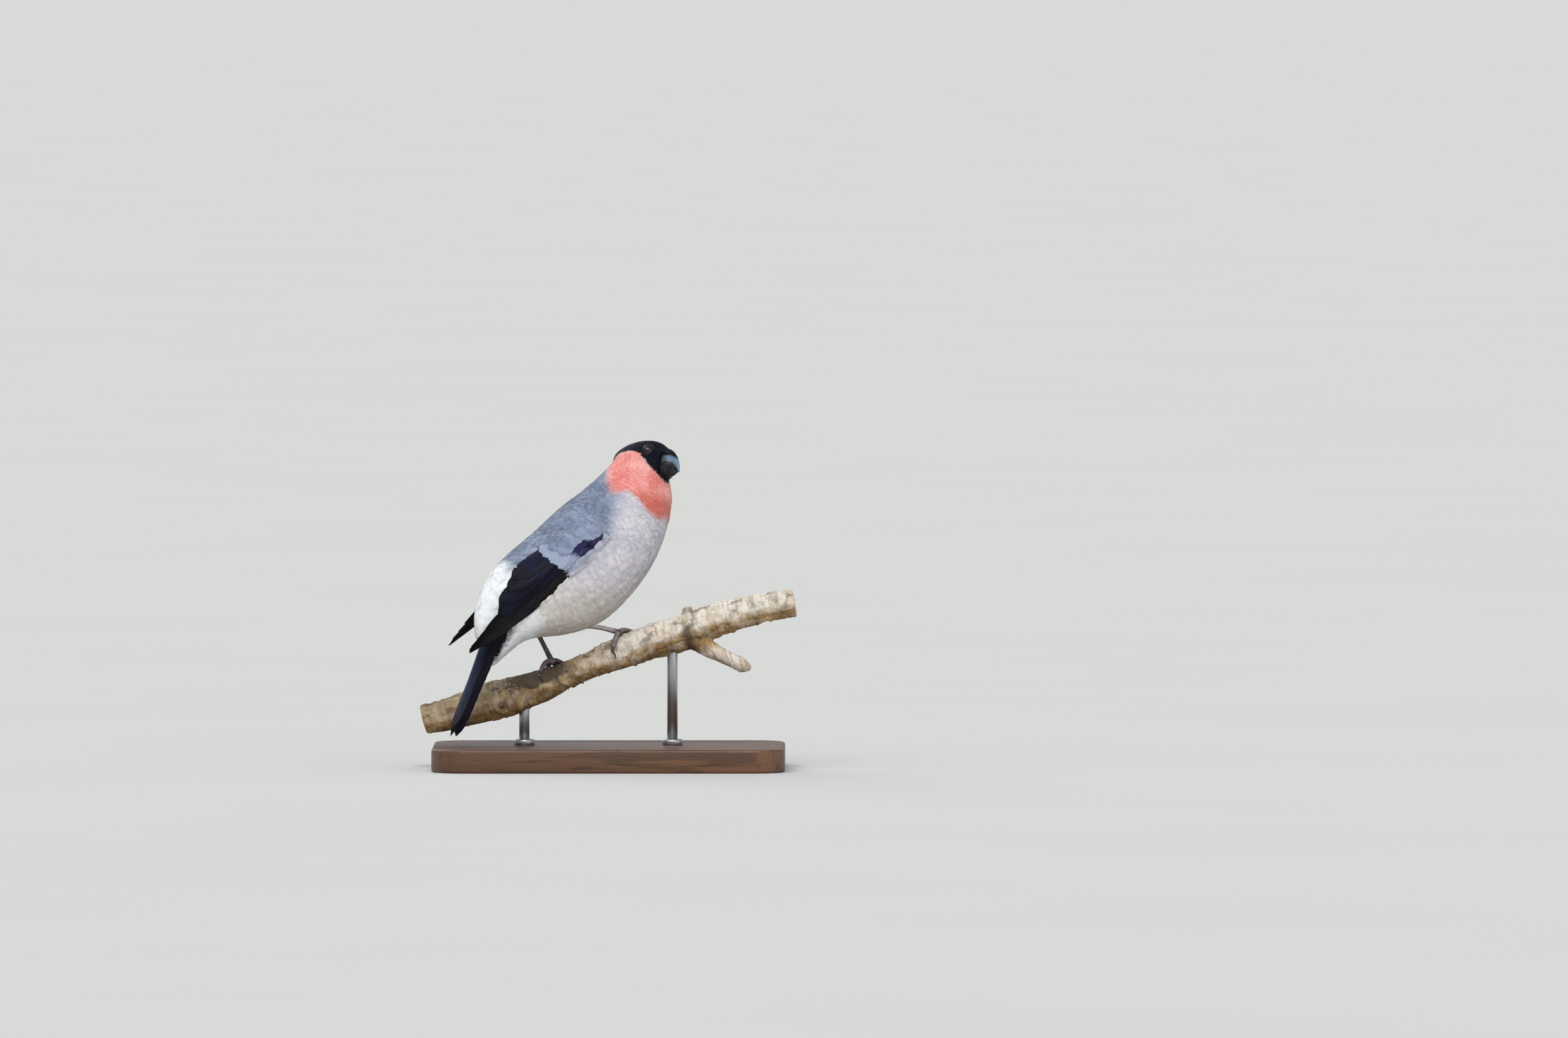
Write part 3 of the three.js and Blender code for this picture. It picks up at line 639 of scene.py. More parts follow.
def zones(points):
    """Shares of black, pink, back, white, deep red and belly at points in the bird's frame; the deep red is
    painted shade under the cheeks and chin.
    """
    a, _, u = from_head(points).T
    x, _, z = points.T
    drift = wobble(points, 0.22, 1)
    slow = wobble(points, 0.09, 2)
    cap = ease(u - cap_edge(a) + 0.3 * drift, -0.3, 0.3)
    soft = 1 + 2.2 * ease(-a, 1, 9)
    pink = ease((u - pink_edge(a) + 1.3 * drift + 1.5 * slow) / soft, -2.0, 1.8) * (1 - cap)
    before_neck = SHOULDER[0] + NECK_SLOPE * (z - SHOULDER[1]) - x
    over_wing = z - SHOULDER[1] - WING_SLOPE * (x - SHOULDER[0])
    back = ease(np.minimum(before_neck, over_wing + 1.5) + 1.2 * drift, -4.5, 3.5)
    back = back * (1 - cap) * (1 - pink)
    from_root = points[:, [0, 2]] - TAIL_ROOT
    down_tail, over_tail = from_root @ TAIL_WAY, from_root @ TAIL_UP
    covert_start = 11 + 12.5 * ease(over_tail, 1, 4)
    covert = ease(down_tail - covert_start + drift, -0.8, 0.8)
    covert = covert * ease(over_tail + 5.2 + 0.5 * drift, -0.5, 0.5)
    cap = np.maximum(cap, covert)
    _, _, up = round_spine(points)
    edge = VENT_X + (RUMP_X - VENT_X) * ease(up, -6, 6)
    white = ease(edge - x + 1.0 * drift, -2.6, 2.2)
    # deep: a deeper red on the lower throat, painted shade under the cheeks and chin where the head meets the
    # neck
    deep = ease(-u, 12.5, 18.5) * ease(a, -2, 6)
    belly = ease(90 - z, 0, 26)
    return rows(cap, pink, back), rows(white, deep, belly), covert


def mark(mesh, **values):
    """Numbers or vectors at a mesh's vertices, for its material to read."""
    for name, numbers in values.items():
        kind, key = ("FLOAT_VECTOR", "vector") if numbers.ndim == 2 else ("FLOAT", "value")
        layer = mesh.attributes.new(name, kind, "POINT")
        layer.data.foreach_set(key, numbers.astype(np.float32).ravel())


skin_zone, skin_shade, _ = zones(skin_bird)
mark(skin_mesh, zone=skin_zone, shade=skin_shade)

# %% [markdown]
# One material colours all the body's plumage from the zones. Real plumage is never one flat tone:
# each feather is darker at its root, feathers differ a little, and fine barbs catch the light.


# %% Plumage material
def plumage(name, on_feathers, **fixed):
    paint = Paint(name, **fixed)
    cap, pink, back = paint.parts("zone")
    white, deep, belly = paint.parts("shade")
    cloud = paint.noise(110.0, 4.0)
    fleck = paint.noise(900.0, 3.0)
    breast = paint.mix(cloud.between(0.35, 0.7), (196, 194, 203), (213, 209, 215))
    below = paint.mix(cloud.between(0.35, 0.7), (208, 200, 190), (218, 212, 205))
    base = paint.mix(belly, breast, below)
    slate = paint.mix(cloud.between(0.3, 0.7), (118, 131, 153), (150, 163, 185))
    base = paint.mix(back, base, slate)
    snow = paint.mix(cloud.between(0.3, 0.7), (236, 240, 244), (248, 250, 250))
    base = paint.mix(white, base, snow)
    rose = paint.mix(cloud.between(0.3, 0.7), (230, 136, 127), (250, 186, 181))
    # the deeper red of painted shade under the cheeks and chin
    rose = paint.mix(deep, rose, paint.mix(cloud, (200, 98, 84), (226, 136, 122)))
    base = paint.mix(pink, base, rose)
    ink = paint.mix(cloud.between(0.4, 0.7), (3, 4, 10), (8, 12, 36))
    base = paint.mix(cap, base, ink)
    tone = 0.92 + 0.16 * fleck
    if on_feathers:
        across, along, seed = paint.parts("vane")
        tone = tone * (0.9 + 0.12 * along.between(0.0, 0.7)) * (0.94 + 0.12 * seed)
        streak = seed.between(0.9, 0.94) * (1 - across.size().between(0.2, 0.8)) * back
        tone = tone * (1 - 0.45 * streak)
        barbs = (along * 60.0 - across.size() * 22.0 + seed * 40.0).sine()
        relief, relief_depth = barbs * 0.5 + fleck, 0.00003
    else:
        tone = tone * 0.92
        relief, relief_depth = fleck, 0.0001
    grey = paint.node("ShaderNodeCombineXYZ", {}, {0: tone, 1: tone, 2: tone})
    shaded = paint.node("ShaderNodeVectorMath", {"operation": "MULTIPLY"}, {0: base, 1: grey})
    return paint.surface(shaded, 0.85 - 0.42 * cap + 0.1 * fleck, relief, relief_depth)


skin_paint = plumage("skin under the plumage", False, Specular_IOR_Level=0.1)
soft_paint = plumage("soft plumage", True, Sheen_Weight=0.25, Sheen_Roughness=0.5, Specular_IOR_Level=0.25)
black_paint = plumage("black plumage", True, Specular_IOR_Level=0.15)
piece("skin", skin_mesh, skin_paint, "grey_feathers", *FLESH)

# %% [markdown]
# A wing or tail feather is a thin blade with a shaft, vanes of barbs on both sides and a few places
# where the barbs have parted. A flat grid gives all of them: its columns are drawn close to
# the shaft, its outline follows the form of the tip, and each row lifts towards the shaft.

# %% One long feather
COLUMNS = np.array([-1, -0.93, -0.7, -0.42, -0.16, -0.05, 0, 0.05, 0.16, 0.42, 0.7, 0.93, 1])
blade_u, blade_v, blade_faces = grid_shape(len(COLUMNS) - 1, 30)
blade_u = COLUMNS[np.round((blade_u + 1) / 2 * (len(COLUMNS) - 1)).astype(int)]
SHAFT_HIGH = 0.22
dice = np.random.default_rng(11)


def round_tip(v):
    return np.minimum(1, 0.55 + v) * np.sqrt(1 - 0.97 * np.clip((v - 0.7) / 0.3, 0, 1) ** 2.4)


def narrow_tip(v):
    return np.minimum(1, 0.7 + v) * (1 - 0.88 * np.clip((v - 0.5) / 0.5, 0, 1) ** 1.8)


def barbed(u, v):
    """Edges that are finely toothed, with two or three places where the barbs part."""
    edge = ease(np.abs(u), 0.6, 1.0)
    drawn = 0.03 * edge * (np.round(v * 30) % 2)
    for side in (-1, 1):
        for place in dice.uniform(0.3, 0.95, 2):
            gap = bell(v - place, 0.018) * (np.sign(u) == side)
            drawn = drawn + dice.uniform(0.05, 0.3) * edge * gap
    return 1 - drawn


def shaft_over(width):
    """The height of the shaft over the vanes, lower towards the tip."""
    return SHAFT_HIGH * bell(blade_u, width) * (1 - blade_v)


def add_blade(heap, places, tone, number, cells):
    """Adds a feather with its tone and its own patch in a square sheet of cells by cells patches."""
    row, column = divmod(number, cells)
    patch = rows(column + 0.5 + 0.44 * blade_u, row + 0.03 + 0.94 * blade_v) / cells
    look = rows(blade_u, blade_v, dice.random())
    heap.add(places, blade_faces, vane=look, tone=np.full_like(blade_u, tone), OFBake=patch)


# %% [markdown]
# The tiers of the wing, from the flight feathers up to the small coverts. Their tones differ: the
# inner flight feathers are glossy blue-black, the primaries duller, and the great coverts have
# wide pale tips that make the grey bar.

# %% Wing feathers
STEEL, VIOLET, GLOSSY, DULL, BARRED = -2.0, -1.0, 0.0, 1.0, 2.0
# half is half a feather's width, and a bunch over 1 crowds the tips towards the outer end
TIERS = [
    {"name": "primaries", "count": 9, "half": 3.3, "tip": narrow_tip, "bunch": 1.5, "tone": DULL,
     "roots": [(25, -1.3, 0.5), (27, 4.5, 1.9)], "tips": [(81.5, -0.6, 0.3), (63, 3.6, 1.7)]},
    {"name": "secondaries", "count": 6, "half": 3.6, "tip": round_tip, "bunch": 1, "tone": GLOSSY,
     "roots": [(25, 3.8, 2.2), (27, 9.2, 3.0)], "tips": [(61.5, 4.0, 2.0), (58.5, 7.2, 2.6)]},
    {"name": "tertials", "count": 3, "half": 4.3, "tip": round_tip, "bunch": 1, "tone": GLOSSY,
     "roots": [(25, 8.3, 3.2), (25, 12.4, 4.0)], "tips": [(58, 6.6, 2.9), (46, 11.2, 3.7)]},
    {"name": "primary coverts", "count": 7, "half": 1.8, "tip": narrow_tip, "bunch": 1, "tone": VIOLET,
     "roots": [(8, -0.8, 2.2), (12, 3.4, 3.0)], "tips": [(29, -1.6, 2.2), (25, 3.2, 3.0)]},
    {"name": "alula", "count": 3, "half": 1.5, "tip": narrow_tip, "bunch": 1, "tone": VIOLET,
     "roots": [(2, -0.4, 2.9), (4, 1.8, 3.3)], "tips": [(19.5, 0.6, 3.0), (17, 3.0, 3.4)]},
    {"name": "greater coverts", "count": 11, "half": 2.2, "tip": round_tip, "bunch": 1, "tone": BARRED,
     "roots": [(13, 4.6, 3.2), (19, 15.4, 4.3)], "tips": [(30.5, 2.4, 3.4), (30.5, 14.6, 4.4)]},
]
ARCH = 0.3
FLAT, EDGE_DROP = 0.65, 1.3  # the tiers lie closer than in the solids, most at the lower edge


def wing_feathers(wing):
    heap = Heap()
    number = 0
    for tier in TIERS:
        for i in range(tier["count"]):
            s = i / (tier["count"] - 1)
            roots, tips = np.array(tier["roots"], float), np.array(tier["tips"], float)
            root = roots[0] + (roots[1] - roots[0]) * s
            tip = tips[0] + (tips[1] - tips[0]) * np.array([s ** tier["bunch"], s, s])
            root = root + dice.normal(0, [0.4, 0.12, 0.03])
            tip = tip + dice.normal(0, [0.6, 0.15, 0.05])
            u, v = blade_u, blade_v
            p, q, h = (root[k] + (tip[k] - root[k]) * v for k in range(3))
            width = tier["half"] * tier["tip"](v) * barbed(u, v)
            h = FLAT * h - EDGE_DROP * ease(4 - q, 0, 5)
            h = h - ARCH * u * u + shaft_over(0.07) + 0.12 * np.sin(9 * v + i) * np.abs(u)
            places = to_part(wing_point(wing, p - 0.5 * np.abs(u) * ease(v, 0.5, 1), q + u * width, h))
            add_blade(heap, places, tier["tone"], number, 7)
            number += 1
    return heap


# %% [markdown]
# The tail is a closed fan of twelve feathers. The middle pair lies on top, each further pair lies
# a little lower and further out, and all end in a shallow notch.

# %% Tail feathers
TAIL = {"length": 67.6, "half": 4.2, "layer": 0.32, "notch": 3.2}
TAIL_PAIRS = 6
tail_roof = track([[0, 0.07], [0.2, 0.1], [0.4, 0.11], [0.67, 0.04], [1, 0.018]])
tail_rise = track([[0, 0.8], [0.25, 2.2], [0.4, 2.4], [0.7, 0.6], [1, 0]])


def tail_point(p, q, h):
    """A place p down the tail, q across it and h over it, in the bird's frame."""
    x, z = (TAIL_ROOT[i] + p * TAIL_WAY[i] + h * TAIL_UP[i] for i in (0, 1))
    return rows(x, q, z)


def tail_feathers():
    heap = Heap()
    for pair in range(TAIL_PAIRS):
        for side in (-1, 1):
            u, v = blade_u, blade_v
            length = TAIL["length"] - TAIL["notch"] * (1 - pair / (TAIL_PAIRS - 1))
            layer = -TAIL["layer"] * (pair + (0.4 if side > 0 else 0))
            middle = side * (0.5 + 0.28 * pair + (0.2 + 0.16 * pair) * v)
            blunt = np.sqrt(1 - 0.97 * np.clip((v - 0.86) / 0.14, 0, 1) ** 2)
            form = (0.62 + 0.38 * np.minimum(1, v * 1.6)) * blunt
            q = middle + u * TAIL["half"] * form * barbed(u, v)
            h = layer + tail_rise(v) - tail_roof(v) * q * q + shaft_over(0.06)
            places = to_part(tail_point(v * length - 0.6 * np.abs(u) * ease(v, 0.7, 1), q, h))
            add_blade(heap, places, STEEL, 2 * pair + (side > 0), 4)
    return heap


# %% Long feather material
def long_feathers():
    paint = Paint("flight feathers", Specular_IOR_Level=0.1, Coat_Roughness=0.25)
    across, along, _ = paint.parts("vane")
    tone = paint.number("tone")
    dull = tone.between(0.4, 0.6) * (1 - tone.between(1.4, 1.6))
    barred = tone.between(1.4, 1.6)
    steel = tone.between(-1.4, -1.6)
    bright = tone.between(-0.4, -0.6) * (1 - steel) * (1 - along.between(0.55, 0.8))
    drift = paint.noise(60.0, 3.0)
    fleck = paint.noise(1400.0, 2.0)
    violet, blue = (15, 9, 32), (7, 18, 50)
    gloss = paint.mix(drift.between(0.4, 0.6), violet, blue)
    navy = paint.mix(drift.between(0.3, 0.6), (6, 13, 42), (9, 23, 68))
    gloss = paint.mix(steel, gloss, navy)
    gloss = paint.mix(across.size().between(0.5, 1.0), gloss, (6, 7, 16))
    gloss = paint.mix(bright, gloss, paint.mix(fleck, (44, 41, 80), (68, 64, 112)))
    flat = paint.mix(drift.between(0.35, 0.65), (11, 11, 14), (22, 21, 25))
    flat = paint.mix(across.between(-0.86, -0.98) * 0.6, flat, (70, 66, 68))
    tip = (along + 0.16 * fleck).between(0.46, 0.66)
    pale = paint.mix(fleck, (130, 142, 165), (158, 169, 188))
    bar = paint.mix(tip, (42, 39, 76), pale)
    base = paint.mix(dull, gloss, flat)
    bar = paint.mix(across.size().between(0.6, 1.0) * 0.45, bar, (92, 102, 128))
    base = paint.mix(barred, base, bar)
    shaft = (1 - across.size().between(0.02, 0.06)) * (1 - barred)
    base = paint.mix(shaft * 0.5, base, (16, 15, 18))
    worn = along.between(0.86, 1.0) * (1 - barred)
    base = paint.mix(worn * 0.8, base, (15, 14, 15))
    paint.set("Coat Weight", 0.06 * (1 - dull) * (1 - barred))
    roughness = 0.34 + 0.2 * dull + 0.45 * barred + 0.12 * worn + 0.1 * fleck
    barbs = (along * 520.0 - across.size() * 90.0).sine()
    return paint.surface(base, roughness, barbs * (0.5 - 0.4 * barred) + 0.4 * fleck, 0.00008)


long_paint = long_feathers()
THIN = {"thickness": 0.2 * MM, "offset": 0.0, "use_rim": True}
fans = {f"wing_{name}": wing_feathers(wing) for name, wing in WINGS.items()}
fans["tail"] = tail_feathers()
covers = Heap()
for node, heap in fans.items():
    covers.add(*heap.arrays())
    name = "tail_feathers" if node == "tail" else node.replace("wing", "wing_feathers")
    piece(name, changed(heap.mesh(name), SOLIDIFY=THIN), long_paint, "flight_feathers", node)
cover_tree = tree_of(*covers.arrays())
outer_tree = tree_of(*Heap().add(skin_places, skin_faces).add(*covers.arrays()).arrays())

# %% [markdown]
# Small feathers cover the skin like tiles that are soft at the edge. Each is a short blade whose
# outer half is split into pointed barbs. Its root is set in the skin, it points along the lie of
# the plumage, and every point of it is laid on the skin and lifted a little, more at the tip, so
# that the tips lie over the roots of the next ones. They are smallest round the bill.


# %% One small feather
VANE_COLUMNS, VANE_ROWS = 7, 3
VANE_SOLID = 0.56


def vane_shape():
    """A blade with barbs: u, v, the triangles, and which points are the tips of barbs."""
    u, v, faces = grid_shape(VANE_COLUMNS, VANE_ROWS)
    v = v * VANE_SOLID
    edge = np.where(np.isclose(v, VANE_SOLID))[0]
    edge = edge[np.argsort(u[edge])]
    tips = len(u) + np.arange(VANE_COLUMNS)
    middle = (u[edge[1:]] + u[edge[:-1]]) / 2
    u = np.concatenate([u, middle])
    v = np.concatenate([v, 1 - 0.3 * np.abs(middle) ** 2.2])
    fingers = rows(edge[:-1], edge[1:], tips)
    return u, v, np.concatenate([faces, fingers]), np.isin(np.arange(len(u)), tips)


vane_u, vane_v, vane_faces, vane_tips = vane_shape()
vane_width = np.minimum(1, 0.45 + 1.5 * vane_v) * np.where(vane_tips, 0.86, 1.0)

# %% [markdown]
# The lie of the plumage runs from the bill over the head, and from the head down to the tail.
# The size of a feather depends on how far it is from the bill.

# %% The lie and the size of small feathers
vane_length = track([[0, 1.3], [4, 1.8], [10, 2.6], [20, 4.0], [34, 5.8], [60, 6.6], [100, 7.4]])
BACK_WAY, BELLY_WAY = unit(np.array([-0.73, 0, -0.68])), unit(np.array([-0.58, 0, -0.82]))


def lie(points, normals):
    """The way feathers point at places on the skin."""
    from_bill = unit(points - in_head(10.5, 0, -1.5))
    share = ease(bill_distance(points), 12, 34)[:, None]
    _, _, up = round_spine(points)
    top = ease(up, -12, 10)[:, None]
    down_body = BACK_WAY * top + BELLY_WAY * (1 - top)
    way = from_bill * (1 - share) + down_body * share
    way = way - normals * np.sum(way * normals, -1, keepdims=True)
    return unit(way)


def scatter(spacing_share, tries):
    """Roots on the skin, about a share of a feather's length apart."""
    luck = np.random.default_rng(5)
    corners = to_bird(skin_places)[skin_faces]
    area = lengths(np.cross(corners[:, 1] - corners[:, 0], corners[:, 2] - corners[:, 0]))
    middles = corners.mean(1)
    wish = area / vane_length(bill_distance(middles)) ** 2
    chosen = luck.choice(len(area), tries, p=wish / wish.sum())
    mix = luck.dirichlet((1, 1, 1), tries)
    roots = np.einsum("ij,ijk->ik", mix, corners[chosen])
    spacing = vane_length(bill_distance(roots)) * spacing_share
    kept = []
    steps = np.geomspace(spacing.min(), spacing.max(), 9)
    for low, high in zip(steps[:-1], steps[1:]):
        here = np.where((spacing >= low) & (spacing <= high))[0]
        cells = np.floor(roots[here] / math.sqrt(low * high)).astype(int)
        _, first = np.unique(cells, axis=0, return_index=True)
        kept.append(here[first])
    return roots[np.unique(np.concatenate(kept))]


# %% [markdown]
# The long feathers hide most of the skin under them, and nothing grows there. At the front of the
# wing it is the other way round: small feathers lie over the roots of the long ones and over the
# wing's lower edge, and leave only a narrow dark patch free between them.

# %% Where small feathers grow
REACH = 9.0
SPACING, TRIES = 0.2, 160000
LOW_CLIMB, HIGH_CLIMB = 0.5, 3.0  # how far a feather may rise on to the wing, in millimetres
FALL, FALL_GROWTH = 0.5, 0.03  # how far it may bend down from its root, more towards its tip
BY_WING = {"p": (-12, 60), "q": (-10, 24)}  # where a feather may have to climb on to a wing
STRAY_SPAN = 1.3  # a feather over a step higher than this would lie half on the wing
lapped_to = track([[-3, -0.8], [16, -0.8], [21, 1.4], [24, 1.4]])


def laps_over(points, wing):
    """Where small feathers lie over the roots of the wing's long feathers."""
    p, q = on_wing(points, wing)
    over_roots = p < np.where(q > 5.0, 20.0 + 0.1 * (q - 5.0), -1.5)
    over_edge = (q < lapped_to(p)) & (p < 23)
    return over_roots | over_edge


def covered(points, normals):
    """True where a long feather lies over a place on the skin."""
    places = to_part(points)
    hits = (cover_tree.ray_cast(Vector(p), Vector(n), 6 * MM)[0] for p, n in zip(places, normals))
    return np.array([hit is not None for hit in hits])


def on_skin(places):
    """The nearest places on the skin and the normals there, both in the model's frame."""
    found = [skin_tree.find_nearest(Vector(p)) for p in places]
    return np.array([f[0] for f in found]), np.array([f[1] for f in found])


def on_outside(places, normals):
    """How high the outermost surface stands over places, along normals, in millimetres."""
    heights = np.zeros(len(places))
    for i, (p, n) in enumerate(zip(places, normals)):
        start = Vector(p + n * REACH * MM)
        hit, _, _, far = outer_tree.ray_cast(start, Vector(-n), 2 * REACH * MM)
        heights[i] = REACH - far / MM if hit else 0.0
    return heights


roots = scatter(SPACING, TRIES)
_, root_normals = on_skin(to_part(roots))
under = covered(roots, root_normals)
by_wing, lapping = np.zeros((2, len(roots)), bool)
climb = np.full(len(roots), LOW_CLIMB)
for wing in WINGS.values():
    here = roots[:, 1] * wing["side"] > 5
    p, q = on_wing(roots, wing)
    by_wing |= here & within(p, *BY_WING["p"]) & within(q, *BY_WING["q"])
    lapping |= here & laps_over(roots, wing)
    climb[here & (p < 24)] = HIGH_CLIMB
turned = np.array([[TURN_COS, -TURN_SIN, 0], [TURN_SIN, TURN_COS, 0], [0, 0, 1]])
grown = ~under | (by_wing & lapping)
roots, root_normals = roots[grown], root_normals[grown] @ turned
by_wing, climb = by_wing[grown], climb[grown, None]
print(len(roots), "small feathers")

# %% Laying the small feathers
luck = np.random.default_rng(23)
way = lie(roots, root_normals)
across_way = np.cross(way, root_normals)
swing = luck.normal(0, 0.1, len(roots))[:, None]
way = way * np.cos(swing) + across_way * np.sin(swing)
across_way = np.cross(way, root_normals)
length = vane_length(bill_distance(roots)) * luck.uniform(0.85, 1.15, len(roots))
half = length * 0.29
count = len(roots)
tip_shift = np.where(vane_tips, luck.normal(0, 0.05, (count, len(vane_v))), 0)
tip_swing = np.where(vane_tips, luck.normal(0, 0.06, (count, len(vane_v))), 0)
u = vane_u * vane_width + tip_swing
v = vane_v + tip_shift
flat = (
    roots[:, None]
    + across_way[:, None] * (u * half[:, None])[..., None]
    + way[:, None] * (v * length[:, None])[..., None]
)
laid = np.empty_like(flat)
depth = coat_depth(bill_distance(roots))
lift = depth[:, None] * (0.05 + 0.62 * v - 0.2 * (vane_u**2) * v) + luck.uniform(0, 0.12, count)[:, None]
ground, ground_normals = on_skin(to_part(flat[~by_wing].reshape(-1, 3)))
free = ground + ground_normals * (lift[~by_wing].reshape(-1, 1) * MM)
laid[~by_wing] = to_bird(free).reshape(-1, len(vane_u), 3)
flat_by_wing = to_part(flat[by_wing]).reshape(-1, 3)
normals_by_wing = np.repeat(root_normals[by_wing] @ turned.T, len(vane_u), 0)
height = on_outside(flat_by_wing, normals_by_wing).reshape(-1, len(vane_u))
start = height[:, np.argmin(vane_v + np.abs(vane_u))][:, None]
stray = np.zeros(count, bool)
stray[by_wing] = (np.ptp(height, axis=1) > STRAY_SPAN) & (climb[by_wing, 0] < HIGH_CLIMB)
fall = FALL + FALL_GROWTH * (v[by_wing] * length[by_wing, None]) ** 2
height = np.clip(height, start - fall, start + climb[by_wing]) + lift[by_wing]
laid[by_wing] = flat[by_wing] + root_normals[by_wing][:, None] * height[..., None]

# %% [markdown]
# No feather may lie over an eye, half on the wing's upper edge or over the violet coverts at the
# wing's bend. The tail's black coverts are told from the white ones.

# %% Coats
EYE_CLEAR = 2.1
VIOLET_SPAN = (3, 22.5)
violet_low = track([[3, 0.8], [8, -0.6], [14, -0.3], [22.5, 1.6]])
violet_high = track([[3, 1.2], [12, 3.6], [20, 5.4], [22.5, 2.0]])
seen = ~stray
for wing in WINGS.values():
    for share in (0.35, 0.7, 1.0):
        p, q = on_wing(roots + way * (share * length)[:, None], wing)
        violet = within(p, *VIOLET_SPAN) & within(q, violet_low(p), violet_high(p))
        seen &= ~(by_wing & violet & (roots[:, 1] * wing["side"] > 5))
for side in (-1, 1):
    centre, gaze = eye_place(side)
    offset = laid - centre
    along_gaze = offset @ gaze
    aside = lengths(offset - along_gaze[..., None] * gaze)
    seen &= ~((aside < EYE_CLEAR) & (along_gaze > 0)).any(1)
zone, shade, covert = zones(roots + way * length[:, None] * 0.5)
share, angle, _ = round_spine(roots)
patch = 0.03 + 0.94 * rows(angle / math.tau + 0.5, share)
PATCH = 0.0012
right = roots[:, 1] <= 0
COATS = {
    "coat_tail": ("flight_feathers", black_paint, covert > 0.5),
    "coat_cap": ("head_feathers", black_paint, zone[:, 0] > 0.5),
    "coat_cheek_right": ("pink_feathers", soft_paint, (zone[:, 1] > 0.5) & (from_head(roots)[:, 1] > 0)),
    "coat_cheek_left": ("pink_feathers", soft_paint, zone[:, 1] > 0.5),
    "coat_rump": ("white_feathers", soft_paint, shade[:, 0] > 0.5),
    "coat_back_right": ("grey_feathers", soft_paint, (zone[:, 2] > 0.5) & right),
    "coat_back_left": ("grey_feathers", soft_paint, zone[:, 2] > 0.5),
    "coat_breast": ("grey_feathers", soft_paint, right & (share > 0.45)),
    "coat_belly": ("grey_feathers", soft_paint, share < 0.45),
    "coat_flank": ("grey_feathers", soft_paint, ~right),
}
taken = ~seen
for name, (slot, paint, wanted) in COATS.items():
    chosen = np.where(wanted & ~taken)[0]
    taken[chosen] = True
    heap = Heap()
    many = len(chosen)
    seeds = np.repeat(luck.random(many), len(vane_u))
    heap.add(
        to_part(laid[chosen].reshape(-1, 3)),
        (vane_faces[None] + (np.arange(many) * len(vane_u))[:, None, None]).reshape(-1, 3),
        vane=rows(np.tile(vane_u, many), np.tile(vane_v, many), seeds),
        zone=np.repeat(zone[chosen], len(vane_u), 0),
        shade=np.repeat(shade[chosen], len(vane_u), 0),
        OFBake=(patch[chosen][:, None] + PATCH * rows(vane_u, 2 * vane_v - 1)).reshape(-1, 2),
    )
    piece(name, heap, paint, slot)

# %% [markdown]
# The eye of this bird is dark brown and very glossy, with a black pupil that hardly shows. A ball
# with a low bulge for the cornea stands in a soft band of bare skin, beaded along its inner edge.
# The ball knows for every point how far it lies from the way the eye looks, and that alone draws
# the iris and the pupil.


# %% Eyes and lids
def ball_shape(around, along):
    """A ball of radius 1 with its poles on Z, and its triangles."""
    shape = bmesh.new()
    bmesh.ops.create_uvsphere(shape, u_segments=around, v_segments=along, radius=1)
    return as_arrays(shape)


def ring_shape(ring, thick, around, along):
    """A ring about Z, made by spinning a small circle."""
    shape = bmesh.new()
    bmesh.ops.create_circle(shape, segments=around, radius=thick)
    bmesh.ops.rotate(shape, verts=shape.verts[:], matrix=Matrix.Rotation(math.pi / 2, 3, "X"))
    bmesh.ops.translate(shape, verts=shape.verts[:], vec=(ring, 0, 0))
    bmesh.ops.spin(
        shape, geom=shape.verts[:] + shape.edges[:], axis=(0, 0, 1), cent=(0, 0, 0),
        angle=math.tau, steps=along, use_merge=True,
    )
    bmesh.ops.remove_doubles(shape, verts=shape.verts[:], dist=1e-5)
    bmesh.ops.recalc_face_normals(shape, faces=shape.faces[:])
    return as_arrays(shape)


BALL, CORNEA = 3.06, 0.22
LID_RING, LID_THICK, LID_WIDE, LID_BEADS = 2.42, 0.24, 2.0, 40
eye_paint = Paint("eye", Roughness=0.03, Specular_IOR_Level=0.55)
gaze_angle = eye_paint.number("gaze")
rays = eye_paint.noise(2600.0, 3.0)
iris = eye_paint.mix(rays, (9, 6, 4), (26, 14, 8))
iris = eye_paint.mix(gaze_angle.between(0.62, 0.72), iris, (4, 3, 3))
eye_paint.set("Base Color", eye_paint.mix(gaze_angle.between(0.34, 0.38), (1, 1, 1), iris))
lid_paint = Paint("eyelid skin", Specular_IOR_Level=0.2)
beads = lid_paint.noise(3200.0, 2.0)
lid_paint.surface(lid_paint.mix(beads, (6, 6, 8), (20, 19, 24)), 0.6, beads, 0.00008)
for side, name in ((1, "right"), (-1, "left")):
    centre, gaze = eye_place(side)
    level = unit(np.cross(head_up, gaze))
    axes = np.stack([level, np.cross(gaze, level), gaze])
    places, faces = ball_shape(48, 32)
    angle = np.arccos(np.clip(places[:, 2], -1, 1))
    places = places * (BALL + CORNEA * bell(angle, 0.6))[:, None]
    ball = Heap().add(to_part(centre + places @ axes), faces, gaze=angle)
    piece(f"eye_{name}_ball", ball, eye_paint, "eye", f"eye_{name}")
    places, faces = ring_shape(LID_RING, LID_THICK, 12, 104)
    turn = np.arctan2(places[:, 1], places[:, 0])
    reach = np.hypot(places[:, 0], places[:, 1])
    wide = LID_RING + LID_WIDE * (reach - LID_RING)
    beaded = 0.04 * np.cos(LID_BEADS * turn) * (reach < LID_RING)
    places[:, :2] *= (wide / reach)[:, None]
    places[:, 1] *= 0.97
    places[:, 2] += np.sqrt(np.maximum(BALL**2 - wide**2, 0.3)) + 0.06 + beaded
    piece(f"eyelid_{name}", Heap().add(to_part(centre + places @ axes), faces), lid_paint, "leg_skin")

# %% [markdown]
# The bill is one short swollen cone that the mouth line parts in two. Each half is a tube along
# the bill whose rings stop at that line. The line rises from the gape, runs level and then drops
# under the hooked tip of the upper half.

